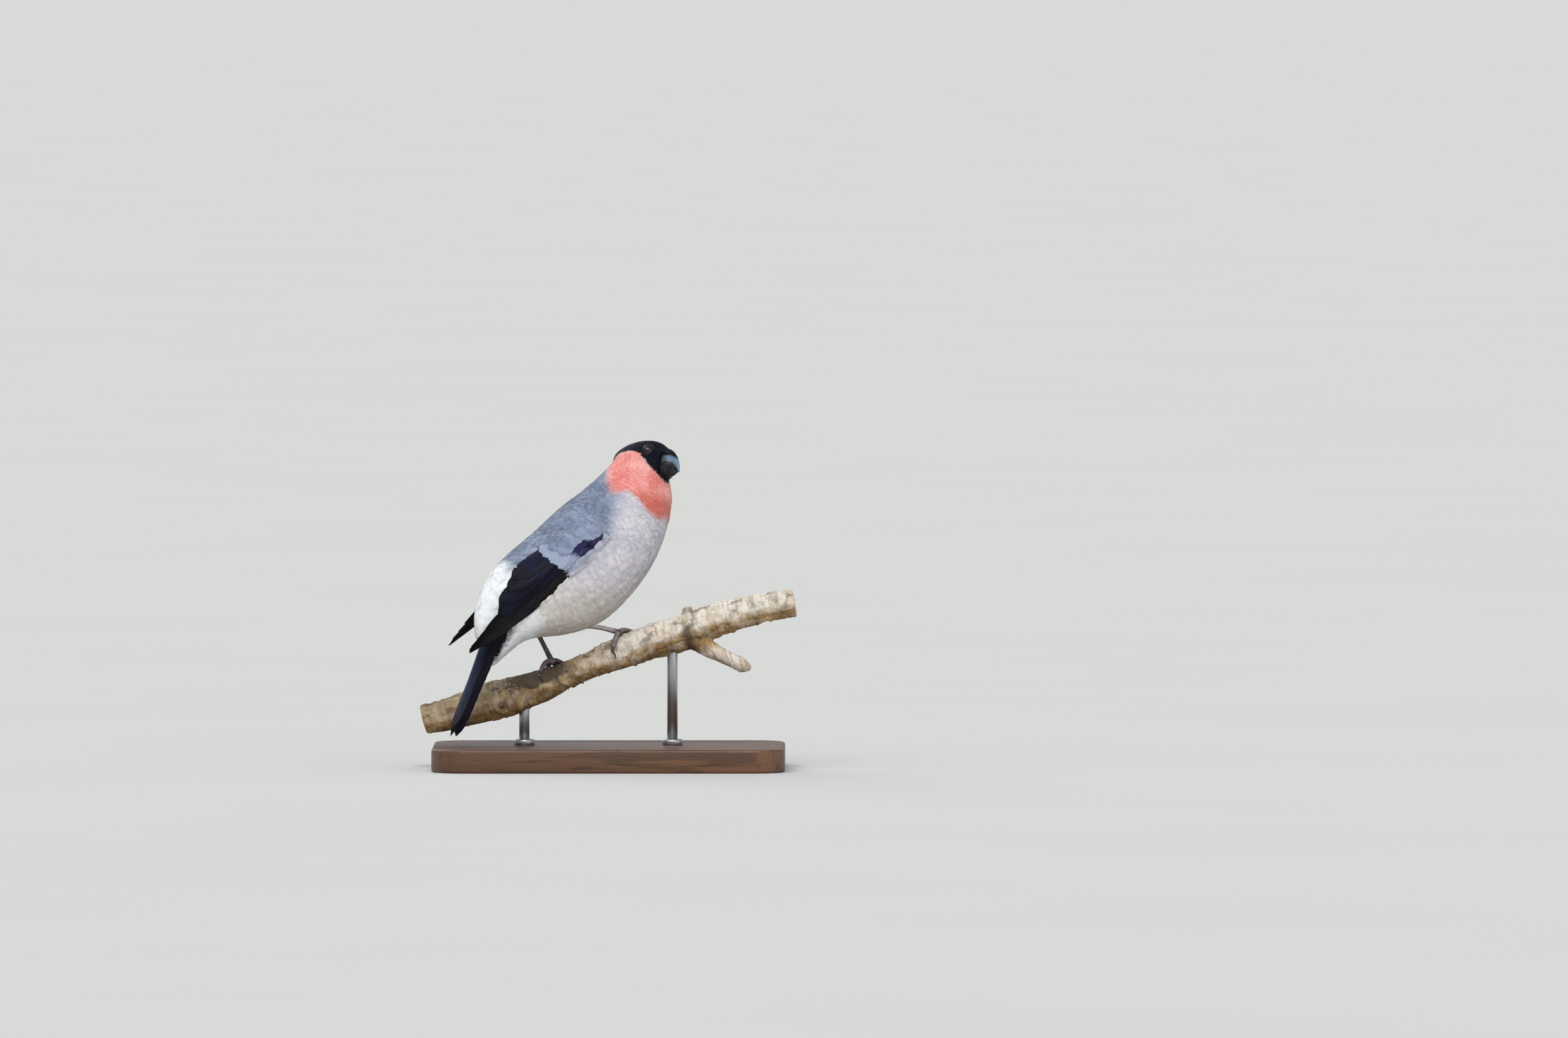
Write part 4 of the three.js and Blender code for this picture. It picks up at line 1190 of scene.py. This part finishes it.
# %% Bill
BILL_ENDS = (6.0, 17.6)
LOWER_END = 16.75
bill_width = track([[6, 5.0], [9, 4.8], [11.5, 4.4], [14, 3.4], [16, 2.0], [17, 0.9], [17.6, 0.25]])
bill_top = track([[6, 5.2], [9, 5.2], [11.5, 4.8], [14, 3.5], [16, 1.2], [17.1, -1.6], [17.6, -3.8]])
bill_foot = track([[6, -7.7], [9, -7.7], [11.5, -7.3], [14, -6.4], [16, -5.2], [17.1, -4.5], [17.6, -4.1]])
mouth = track([
    [4, -4.8], [9.3, -2.8], [11.8, -1.4], [14, -1.3], [15.7, -2.4], [16.7, -3.7], [17.1, -4.8], [17.4, -7],
])
MOUTH_HALF = 0.1
NOSTRIL = (12.3, 2.7, 3.2)


def mandible(upper):
    """One half of the bill: its places in the bird's frame, its faces and its markings."""
    t, side, up, faces = tube_shape(72, 84)
    end = BILL_ENDS[1] if upper else LOWER_END
    forward = BILL_ENDS[0] + t * (end - BILL_ENDS[0])
    top, foot = bill_top(forward), bill_foot(forward)
    height = (top + foot) / 2 + up * (top - foot) / 2
    width = bill_width(forward) * side
    line = mouth(forward)
    if upper:
        height = np.maximum(height, line + MOUTH_HALF)
    else:
        closing = 1 - ease(forward, LOWER_END - 1.6, LOWER_END) * 0.75
        width = width * closing
        height = np.minimum(height, line - MOUTH_HALF - 0.2 * ease(forward, 15, LOWER_END))
    aside = np.hypot(forward - NOSTRIL[0], height - NOSTRIL[2])
    pit = bell(aside, 0.6) * (np.abs(side) > 0.3)
    width = width - np.sign(side) * 0.55 * pit
    look = rows((height - line) / 6, (forward - 9) / 8.6, pit)
    return in_head(forward, width, height), faces, look


def horn():
    """Dark horn, blue-grey over the upper half, partly its own colour and partly a painted reflection of the
    sky, with fine growth lines.
    """
    paint = Paint("bill horn", Specular_IOR_Level=0.3)
    height, forward, pit = paint.parts("bill")
    grain = paint.noise(700.0, 4.0, where=paint.stretched((1.0, 1.0, 0.35)))
    cloud = paint.noise(260.0, 3.0)
    dark = paint.mix(cloud.between(0.35, 0.65), (14, 15, 17), (33, 36, 38))
    # blue-grey on the upper half: partly the horn's own colour, partly a painted reflection of the sky
    bloom_and_sky_reflection = paint.mix(cloud.between(0.3, 0.7), (96, 124, 152), (132, 164, 190))
    over = height.between(0.0, 0.4) * forward.between(0.2, 0.62) * (0.75 + 0.25 * grain)
    ridge = height.between(0.55, 0.75) * (1 - forward.between(0.7, 0.95))
    base = paint.mix(over * (1 - ridge) * 0.85, dark, bloom_and_sky_reflection)
    base = paint.mix((1 - height.size().between(0.0, 0.06)) * 0.6, base, (60, 58, 58))
    # painted shade: the nostril pits nearly black
    base = paint.mix(pit, base, (3, 3, 4))
    return paint.surface(base, 0.24 + 0.16 * grain, grain, 0.00007)


horn_paint = horn()
for upper, name in ((True, "bill_upper"), (False, "bill_lower")):
    places, faces, look = mandible(upper)
    half = Heap().add(to_part(places), outward(places, faces), bill=look)
    piece(name + "_horn", half, horn_paint, "bill_horn", name)

# %% [markdown]
# Stiff bristles stand round the base of the bill and over the corner of the mouth. Black plumes lie
# forward over the ridge of the bill and under the chin.

# %% Bristles
PLUMES = [
    {"count": 330, "turn": 0.0, "spread": 0.95, "from": (9.4, 12.0), "reach": (2.6, 4.4), "over": 0.75},
    {"count": 220, "turn": math.pi, "spread": 0.9, "from": (8.6, 10.4), "reach": (2.0, 3.4), "over": 0.9},
]
BRISTLES, PLUME_THICK, BRISTLE_THICK = 64, 0.11, 0.055
luck = np.random.default_rng(31)
heap = Heap()
t, side, up, faces = tube_shape(5, 8)


def hair(middle, across, over, thick):
    """Adds a hair that thins from its root to its point along a middle line."""
    thin = thick * (1 - 0.85 * t)[:, None]
    places = middle + across * side[:, None] * thin + over * up[:, None] * thin
    heap.add(to_part(places), outward(places, faces))


for plume in PLUMES:
    for _ in range(plume["count"]):
        turn = plume["turn"] + luck.uniform(-1, 1) * plume["spread"] * (1 - 0.35 * t)
        forward = luck.uniform(*plume["from"]) + luck.uniform(*plume["reach"]) * t
        top, foot = bill_top(forward), bill_foot(forward)
        over = 0.1 + plume["over"] * luck.random() * (1 - 0.6 * t)
        middle = in_head(
            forward,
            np.sin(turn) * (bill_width(forward) + over),
            (top + foot) / 2 + np.cos(turn) * ((top - foot) / 2 + over),
        )
        hair(middle, head_right, head_up, PLUME_THICK)
for _ in range(BRISTLES):
    height = luck.uniform(-6.0, 4.6)
    flank = luck.choice((-1, 1))
    start = in_head(luck.uniform(8.6, 9.8), flank * luck.uniform(3.6, 4.4), height)
    reach = luck.uniform(2.0, 3.6)
    outward_share, up_share = luck.uniform(0.1, 0.4), luck.uniform(-0.35, 0.1)
    way = unit(head_forward + head_right * flank * outward_share + head_up * up_share)
    droop = head_up * (-0.25 * reach)
    across = unit(np.cross(way, head_up))
    middle = start + way * (t * reach)[:, None] + droop * (t**2)[:, None]
    hair(middle, across, np.cross(across, way), BRISTLE_THICK)
bristle_paint = Paint("bristles", Roughness=0.5, Specular_IOR_Level=0.3)
shine = bristle_paint.noise(500.0, 2.0)
bristle_paint.set("Base Color", bristle_paint.mix(shine, (4, 4, 6), (16, 15, 18)))
piece("bristles", heap, bristle_paint, "head_feathers")

# %% [markdown]
# The legs follow the same curves as the solids: a smooth line through a few points, which passes
# through each of them. The line of the branch is one too, because the toes wrap round it.


# %% Curves and the branch's line
class Curve:
    """A smooth line through points, in millimetres. t runs along it from 0 to 1."""

    def __init__(self, points):
        points = np.asarray(points, float)
        ends = 2 * points[0] - points[1], 2 * points[-1] - points[-2]
        self.points = np.vstack([ends[0], points, ends[1]])

    def at(self, t):
        spans = len(self.points) - 3
        place = np.clip(np.asarray(t, float), 0, 1) * spans
        i = np.minimum(place.astype(int), spans - 1)
        w = (place - i)[..., None]
        a, b, c, d = (self.points[i + k] for k in range(4))
        before, here, after = (
            np.maximum(np.linalg.norm(q - p, axis=-1, keepdims=True), 1e-9) ** 0.5
            for p, q in ((a, b), (b, c), (c, d))
        )
        start = ((b - a) / before - (c - a) / (before + here) + (c - b) / here) * here
        end = ((c - b) / here - (d - b) / (here + after) + (d - c) / after) * here
        return b + start * w + (3 * (c - b) - 2 * start - end) * w**2 + (2 * (b - c) + start + end) * w**3

    def way(self, t):
        t = np.asarray(t, float)
        return unit(self.at(np.minimum(t + 1e-4, 1)) - self.at(np.maximum(t - 1e-4, 0)))


BRANCH = [
    (-79, 0.5, 20.4, 6.0), (-62, 1.2, 25.1, 7.2), (-47.3, 0.8, 29.1, 8.4), (-36.1, 0, 32.5, 7.6),
    (-22.5, -0.6, 38.1, 6.1), (-14.1, -0.6, 41.5, 5.7), (-5.6, -0.2, 45.1, 5.9), (5.6, 0.2, 49.4, 6.8),
    (16.9, 0.6, 53.6, 7.3), (33.8, 0.4, 58.6, 7.7), (49.6, -0.4, 64.3, 7.0), (63.1, -0.8, 68.0, 6.2),
    (79, -0.6, 70.8, 5.9),
]
branch_line = Curve([row[:3] for row in BRANCH])
branch_radius = track([[i / (len(BRANCH) - 1), row[3]] for i, row in enumerate(BRANCH)])
branch_share = np.linspace(0, 1, 4000)
branch_middle = branch_line.at(branch_share)
ACROSS = np.array([0, 1.0, 0])


def share_at(x):
    """The share of the branch's length that is reached at x."""
    return np.interp(x, branch_middle[:, 0], branch_share)


def on_branch(x, turn, lift):
    """A place on the bark: x along it, turn degrees round it from its top, lift over it."""
    share = share_at(x)
    upward = unit(np.cross(-ACROSS, branch_line.way(share)))
    angle = np.radians(turn)
    r = branch_radius(share) + lift
    return branch_line.at(share) + upward * math.cos(angle) * r + ACROSS * math.sin(angle) * r


# %% [markdown]
# A songbird's shank is covered in front by a few long plates, and its toes by short ones that
# stand like steps, with soft pads underneath. Both are tubes whose radius carries the steps.

# %% Legs, toes and claws
TOES = {
    "right": [
        ("inner", 84, -2.6, 34, 0), ("middle", 100, 4.6, 44, 0), ("outer", 84, 8.4, 32, 0),
        ("hind", -64, -4.2, -36, 0.3),
    ],
    "left": [
        ("inner", 88, 6.2, 36, 0), ("middle", 106, 1.6, 44, 0), ("outer", 86, -4.8, 34, 0),
        ("hind", -44, -5.4, -42, 1.3),
    ],
}
# pale is painted sunlight: the right leg is painted lit and pale grey, the left leg stays brown as in shade
LEGS = {
    "right": {"heel": (-11.0, -8.2, 61.4), "x": 7.3, "turn": -12, "pale": 0.9},
    "left": {"heel": (-33.0, 0.6, 62.2), "x": -21.4, "turn": -5, "pale": 0.1},
}
TOE_LIFT = 1.25
toe_radius = track([[0, 1.15], [0.5, 1.0], [1, 0.85]])
claw_radius = track([[0, 0.82], [0.15, 0.8], [0.5, 0.52], [0.8, 0.26], [1, 0.07]])
ASIDE = np.array([0.31, 0.87, 0.38])


def limb(path, radius, around, along, pale, fade=0):
    """A tube along a path in millimetres: its places, faces and markings, with the painted sunlight given by
    pale fading along it.

    radius takes t, from 0 to 1 along the path, and the share that faces up.
    """
    t, side, up, faces = tube_shape(around, along)
    ahead = path.way(t)
    across = unit(np.cross(ahead, ASIDE))
    over = np.cross(across, ahead)
    outwards = across * side[:, None] + over * up[:, None]
    places = path.at(t) + outwards * radius(t, outwards[:, 2])[:, None]
    return places * MM, outward(places, faces), rows(t, outwards[:, 2], pale * (1 - fade * t**3))


def toe_path(leg, turn, drift, arch):
    steps = (0, 0.2, 0.4, 0.6, 0.8, 1)
    lifts = (TOE_LIFT + 0.7 * (1 - s) ** 2 + arch * math.sin(math.pi * s) for s in steps)
    turns = (leg["turn"] + (turn - leg["turn"]) * s for s in steps)
    return Curve([on_branch(leg["x"] + drift * s, way, lift) for s, way, lift in zip(steps, turns, lifts)])


def claw_path(leg, toe, turn, drift, claw):
    end, ahead = toe.at(1.0), toe.way(1.0)
    tip = (
        on_branch(leg["x"] + drift * (1 + 0.12 * s), turn + claw * s, TOE_LIFT + lift)
        for s, lift in ((0.6, 1.2), (1, 0.3))
    )
    return Curve([end - ahead * 0.5, end + ahead * 1.2, *tip])


def steps_of(count, high):
    """Plates that overlap like steps: the radius falls slowly and jumps back."""
    return lambda t: high * (1 - (t * count) % 1)


shank_steps, toe_steps = steps_of(7, 0.11), steps_of(11, 0.1)


def shank_radius(t, facing_up):
    return 0.98 * (1 + 0.25 * (2 * t - 1) ** 2) * (1 + shank_steps(t) * ease(facing_up, -0.4, 0.5))


def toe_skin(t, facing_up):
    round_end = np.sqrt(np.clip(1 - ((t - 0.9) / 0.1).clip(0) ** 2 * 0.7, 0, 1))
    pads = 1 + 0.1 * np.cos(math.tau * 3 * t) * ease(-facing_up, -0.4, 0.6)
    return toe_radius(t) * pads * (1 + toe_steps(t) * ease(facing_up, -0.2, 0.5)) * round_end


def claw_skin(t, facing_up):
    return claw_radius(t) * (1 - 0.12 * (facing_up < 0))


def leg_skin():
    paint = Paint("scaly leg skin", Specular_IOR_Level=0.4)
    _, over, pale = paint.parts("leg")
    cloud = paint.noise(420.0, 3.0)
    scale = paint.noise(2400.0, 2.0)
    brown = paint.mix(cloud.between(0.35, 0.65), (52, 42, 44), (88, 72, 78))
    # light is the pale grey of a sunlit shank: painted sunlight, laid on where pale is high
    light = paint.mix(cloud.between(0.35, 0.65), (172, 164, 164), (206, 200, 198))
    base = paint.mix(pale, brown, light)
    # painted shade: darker where the skin faces down
    base = paint.mix((1 - over.between(-0.6, 0.2)) * 0.5, base, (66, 54, 50))
    return paint.surface(base, 0.42 + 0.2 * scale, scale, 0.00006)


def claw_horn():
    paint = Paint("claw horn", Specular_IOR_Level=0.5)
    along, _, _ = paint.parts("leg")
    grain = paint.noise(1500.0, 3.0)
    base = paint.mix(along, (52, 42, 40), (17, 14, 14))
    base = paint.mix(grain * 0.4, base, (90, 78, 72))
    return paint.surface(base, 0.25 + 0.2 * grain, grain, 0.00004)


leg_paint, claw_paint = leg_skin(), claw_horn()
SOLE = np.array([1.75, 1.75, 1.45])
for name, leg in LEGS.items():
    heel = np.array(leg["heel"])
    joint = on_branch(leg["x"], leg["turn"], TOE_LIFT + 0.7)
    bow = (heel + joint) / 2 + (0, 0, 0.4)
    foot, claws, nodes = Heap(), Heap(), []
    places, faces, look = limb(Curve([heel, bow, joint]), shank_radius, 24, 168, leg["pale"], fade=1)
    shank = Heap().add(places, faces, leg=look)
    places, faces = ball_shape(28, 20)
    tone = rows(0, places[:, 2], 0.05)
    foot.add((joint + (0, 0, -0.3) + places * SOLE) * MM, faces, leg=tone)
    for label, turn, drift, claw, arch in TOES[name]:
        toe = toe_path(leg, turn, drift, arch)
        # the toes take a little of their leg's painted sunlight
        places, faces, look = limb(toe, toe_skin, 20, 132, 0.05 + 0.2 * leg["pale"])
        foot.add(places, faces, leg=look)
        places, faces, look = limb(claw_path(leg, toe, turn, drift, claw), claw_skin, 20, 40, 0)
        claws.add(places, faces, leg=look)
        nodes.append(f"claw_{name}_{label}")
    piece(f"shank_{name}_skin", shank, leg_paint, "leg_skin", f"shank_{name}")
    piece(f"foot_{name}_skin", foot, leg_paint, "leg_skin", f"foot_{name}")
    piece(f"claws_{name}", claws, claw_paint, "claw_horn", *nodes)

# %% [markdown]
# The branch's solid gives its course, its swellings and its twig. A copy of it is merged, remeshed
# finely and smoothed, and then bark is worked into the surface itself: lumps, wrinkles that run
# round it, cracks along it, flat crusts of lichen and the ring scar of a lost twig.

# %% Bark surface
BARK_VOXEL = 0.55
BRANCH_LENGTH, BRANCH_HALF = 170.0, 7
SCAR = {"place": np.array([-45.0, -7.9, 26.2]), "ring": 3.1}


def noise_at(points, scale, seed=0.0):
    """Smooth noise over points in millimetres, stretched by a scale for each axis."""
    shifted = points * np.asarray(scale) + seed
    return np.array([noise.noise(Vector(p)) for p in shifted])


bark_mesh = changed(
    finished(copy_of("perch"), "perch copy"),
    REMESH={"mode": "VOXEL", "voxel_size": BARK_VOXEL * MM},
    SMOOTH={"factor": 0.5, "iterations": 8},
)
places, normals, _ = arrays_of(bark_mesh)
bark_mm = places / MM
coarse = branch_middle[::10]
nearest = np.argmin(np.sum((bark_mm[:, None] - coarse[None]) ** 2, axis=-1), axis=1)
from_middle = bark_mm - coarse[nearest]
from_axis = lengths(from_middle)
ahead = branch_line.way(branch_share[::10])[nearest]
upward = unit(np.cross(-ACROSS, ahead))
bark_along = nearest / len(coarse) * BRANCH_LENGTH
bark_turn = np.arctan2(from_middle @ ACROSS, np.sum(from_middle * upward, -1))
at_end = (nearest < 1) | (nearest > len(coarse) - 2)
cut_face = at_end * ease(np.abs(np.sum(normals * ahead, -1)), 0.55, 0.8)
unrolled = rows(bark_along, np.cos(bark_turn) * BRANCH_HALF, np.sin(bark_turn) * BRANCH_HALF)
lumps = noise_at(unrolled, (0.16, 0.22, 0.22))
wrinkle = noise_at(unrolled, (1.1, 0.16, 0.16), 20)
knots = noise_at(unrolled, (0.34, 0.3, 0.3), 40)
crack = np.abs(noise_at(unrolled, (0.1, 0.62, 0.62), 60))
patches = noise_at(unrolled, (0.2, 0.3, 0.3), 80)
fine = noise_at(unrolled, (1.3, 1.5, 1.5), 100)
crust = ease(patches + 0.35 * fine, 0.02, 0.16)
scar_far = lengths(bark_mm - SCAR["place"])
scar_rim, scar_pit = bell(scar_far - SCAR["ring"], 0.8), bell(scar_far, 1.9)
height = 0.42 * lumps + 0.2 * wrinkle + 0.55 * ease(knots, 0.25, 0.6)
height = height - 0.4 * (1 - ease(crack, 0.0, 0.06)) * ease(lumps, -0.1, 0.25)
height = height + 0.12 * crust + 0.1 * fine + 0.5 * scar_rim - 0.55 * scar_pit
height = np.clip(height, -0.9, 0.75) * (1 - cut_face)
rings = noise_at(rows(from_axis, 0, 0), (1.6, 1, 1))
height = height + 0.08 * rings * cut_face
moved(bark_mesh, places + normals * height[:, None] * MM)

# %% [markdown]
# In the picture the bark is pale cream with dark blotches on the right, ochre towards the left and
# underneath, where the ochre is partly painted shade, and grey-green with lichen at the far left.
# Round the left foot the bird's shadow is painted nearly black, and painted shade darkens the fork,
# the cracks, the hollows, the troughs of the wrinkles and the pit of the scar.

# %% Bark colours
# painted shadow of the bird's body, on the upper side of the bark round the left foot
from_foot = bark_mm[:, 0] + 27
bird_shadow = bell(from_foot, np.where(from_foot > 0, 11, 20))
bird_shadow = ease(bird_shadow + 0.4 * fine, 0.2, 0.8)
bird_shadow = bird_shadow * ease(np.cos(bark_turn) + 0.5 * knots, -0.35, 0.4)
# darker ochre underneath: partly the bark's own colour, partly painted shade on the underside
under = ease(-np.cos(bark_turn) + 0.3 * lumps, -0.2, 0.5)
leftward = ease(-bark_mm[:, 0], -12, 22)
blotch = ease(noise_at(unrolled, (0.17, 0.3, 0.3), 120) + 0.3 * fine, 0.08, 0.5)
upper_side = ease(np.cos(bark_turn), -0.8, 0)
# dark joins the bird's painted shadow, the bark's own blotches on its upper side and painted shade in the pit
# of the scar
dark = np.maximum(np.maximum(bird_shadow, 0.6 * blotch * upper_side), 0.9 * scar_pit)
# painted shade in the crotch of the fork, kept off the top
at_fork = bell(bark_mm[:, 0] - 34 + 2 * lumps, 3.2)
dark = np.maximum(dark, 0.75 * at_fork * ease(0.9 - np.cos(bark_turn) + 0.5 * fine, 0.0, 0.6))
# painted shade in the cracks, where the surface is sunk
dark = np.maximum(dark, 0.55 * (1 - ease(crack, 0.0, 0.07)) * ease(lumps, -0.1, 0.25))
on_twig = ease(from_axis, 9.5, 13)
grey_green = ease(-bark_mm[:, 0], 38, 50) * ease(np.cos(bark_turn) + 0.4 * lumps, -0.1, 0.7)
ochre_and_underside_shade = np.maximum(leftward * 0.85, under) * (1 - 0.75 * on_twig)
mark(
    bark_mesh,
    bark=rows(crust, np.clip(dark, 0, 1), np.clip(ochre_and_underside_shade, 0, 1)),
    # grain carries the wrinkles, the height of the relief and the cut face; the first two give painted shade
    # in the hollows
    grain=rows(wrinkle, height, cut_face),
    place=rows(leftward, from_axis / 8, grey_green),
)


def bark():
    paint = Paint("bark", Specular_IOR_Level=0.25)
    crust, dark, ochre_and_underside_shade = paint.parts("bark")
    wrinkle, height, cut = paint.parts("grain")
    left, radius, far_left = paint.parts("place")
    cloud = paint.noise(170.0, 5.0, 0.65)
    speck = paint.noise(1300.0, 4.0, 0.7)
    cream = paint.mix(cloud.between(0.35, 0.65), (186, 172, 154), (218, 208, 194))
    # tan: the bark's ochre, which underneath is partly painted shade
    tan = paint.mix(cloud.between(0.35, 0.65), (120, 94, 56), (166, 136, 90))
    base = paint.mix(ochre_and_underside_shade, cream, tan)
    pale = paint.mix(speck.between(0.4, 0.6), (202, 194, 182), (228, 222, 212))
    lichen = paint.mix(speck.between(0.4, 0.6), (124, 126, 108), (160, 160, 142))
    pale = paint.mix(far_left * 0.8, pale, lichen)
    base = paint.mix(crust * (0.75 - 0.45 * left) * (1 - 0.6 * ochre_and_underside_shade), base, pale)
    base = paint.mix(far_left * cloud.between(0.35, 0.6) * 0.7, base, lichen)
    # shade: the dark colour of the bark's own blotches and of its painted shadow and shade
    shade = paint.mix(speck, (44, 36, 31), (80, 67, 58))
    base = paint.mix((dark + 0.4 * (speck - 0.5)).between(0.2, 0.85) * 0.9, base, shade)
    # painted shade in the hollows, darker where the surface is sunk
    base = paint.mix((0 - height).between(0.1, 0.6) * 0.6, base, (52, 40, 32))
    # painted shade in the troughs of the wrinkles
    base = paint.mix(wrinkle.between(0.0, -0.4) * 0.35, base, (84, 66, 50))
    rings = (radius * 90.0 + 3.0 * cloud).sine()
    wood = paint.mix(rings.between(-0.6, 0.9), (206, 180, 138), (176, 144, 100))
    wood = paint.mix(radius.between(0.78, 0.86), wood, (70, 54, 40))
    base = paint.mix(cut, base, wood)
    return paint.surface(base, 0.78 + 0.2 * speck, speck * 0.7 + cloud * 0.5, 0.00025)


piece("branch_bark", bark_mesh, bark(), "bark", "perch")

# %% [markdown]
# The stand isn't in the picture. It is the plainest that a museum would use: a waxed hardwood
# board with rounded corners and a fine line cut round its top, and two brushed steel rods that
# rise from small collars into the underside of the branch.

# %% Stand board
BOARD = (150.0, 88.0, 10.0)
CORNER, EDGE_ROUND = 14.0, 1.2
GROOVE_IN, GROOVE_WIDE, GROOVE_DEEP = 5.0, 0.5, 0.45


def upright(edge):
    a, b = (v.co for v in edge.verts)
    return abs(a.z - b.z) > 0.5 * BOARD[2] * MM


def height_and_area(face):
    return round(face.calc_center_median().z, 6), face.calc_area()


def rounded(shape, edges, radius, steps):
    settings = {"segments": steps, "profile": 0.5, "affect": "EDGES", "material": -1}
    bmesh.ops.bevel(shape, geom=edges, offset=radius * MM, **settings)


shape = bmesh.new()
bmesh.ops.create_cube(shape, size=1)
bmesh.ops.scale(shape, verts=shape.verts[:], vec=Vector(BOARD) * MM)
bmesh.ops.translate(shape, verts=shape.verts[:], vec=(0, 0, BOARD[2] / 2 * MM))
rounded(shape, [e for e in shape.edges if upright(e)], CORNER, 14)
top, foot = max(shape.faces, key=height_and_area), min(shape.faces, key=height_and_area)
rounded(shape, list(top.edges) + list(foot.edges), EDGE_ROUND, 4)
top = max(shape.faces, key=height_and_area)
for inset, deep in ((GROOVE_IN, 0), (GROOVE_WIDE, -GROOVE_DEEP), (GROOVE_WIDE, GROOVE_DEEP)):
    bmesh.ops.inset_region(shape, faces=[top], thickness=inset * MM, depth=deep * MM)
board_mesh = finished(shape, "stand_board")
for face in board_mesh.polygons:
    face.use_smooth = abs(face.normal.z) < 0.999
walnut = Paint("waxed walnut", Specular_IOR_Level=0.4, Coat_Weight=0.2, Coat_Roughness=0.3)
growth = walnut.noise(1.0, 4.0, 0.5, walnut.stretched((7.0, 90.0, 60.0)))
pores = walnut.noise(1.0, 2.0, 0.6, walnut.stretched((60.0, 2600.0, 900.0)))
veins = (growth * 34.0).sine()
heart = walnut.mix(growth.between(0.3, 0.7), (66, 42, 28), (104, 70, 46))
heart = walnut.mix(veins.between(0.1, 1.0) * 0.5, heart, (48, 30, 21))
heart = walnut.mix(pores.between(0.56, 0.7) * 0.6, heart, (34, 21, 15))
walnut.surface(heart, 0.38 + 0.2 * pores, 1 - pores.between(0.5, 0.7), 0.00006)
piece("stand_board", board_mesh, walnut, "stand_wood", "stand_base")

# %% Stand rods
ROD_RADIUS, COLLAR_RADIUS, COLLAR_HIGH, ROD_IN = 2.2, 4.4, 2.6, 1.2
RODS = {"left": -36.0, "right": 27.0}
steel = Paint("brushed steel", Metallic=1.0)
brush = steel.noise(1.0, 3.0, 0.6, steel.stretched((5200.0, 5200.0, 240.0)))
smudge = steel.noise(60.0, 3.0)
metal = steel.mix(smudge, (150, 152, 155), (182, 184, 186))
steel.surface(metal, 0.26 + 0.16 * brush + 0.06 * smudge, brush, 0.00003)


def turned_bar(shape, radius, low, high, rounding):
    """A round bar about Z from low to high, with a rounded top edge."""
    made = bmesh.ops.create_cone(
        shape, cap_ends=True, segments=56, radius1=radius * MM, radius2=radius * MM, depth=(high - low) * MM
    )
    bmesh.ops.translate(shape, verts=made["verts"], vec=(0, 0, (low + high) / 2 * MM))
    tops = [v for v in made["verts"] if v.co.z > (low + high) / 2 * MM]
    edge = [e for e in shape.edges if e.verts[0] in tops and e.verts[1] in tops]
    rounded(shape, edge, rounding, 4)


for name, x in RODS.items():
    under = branch_line.at(share_at(x))[2] - branch_radius(share_at(x)) + ROD_IN
    shape = bmesh.new()
    turned_bar(shape, ROD_RADIUS, BOARD[2] - 1.0, under, 0.3)
    turned_bar(shape, COLLAR_RADIUS, BOARD[2] - 1.0, BOARD[2] + COLLAR_HIGH, 0.8)
    bmesh.ops.translate(shape, verts=shape.verts[:], vec=(x * MM, 0, 0))
    rod_mesh = finished(shape, f"rod_{name}")
    for face in rod_mesh.polygons:
        face.use_smooth = abs(face.normal.z) < 0.9
    piece(f"rod_{name}", rod_mesh, steel, "stand_steel", f"stand_rod_{name}")
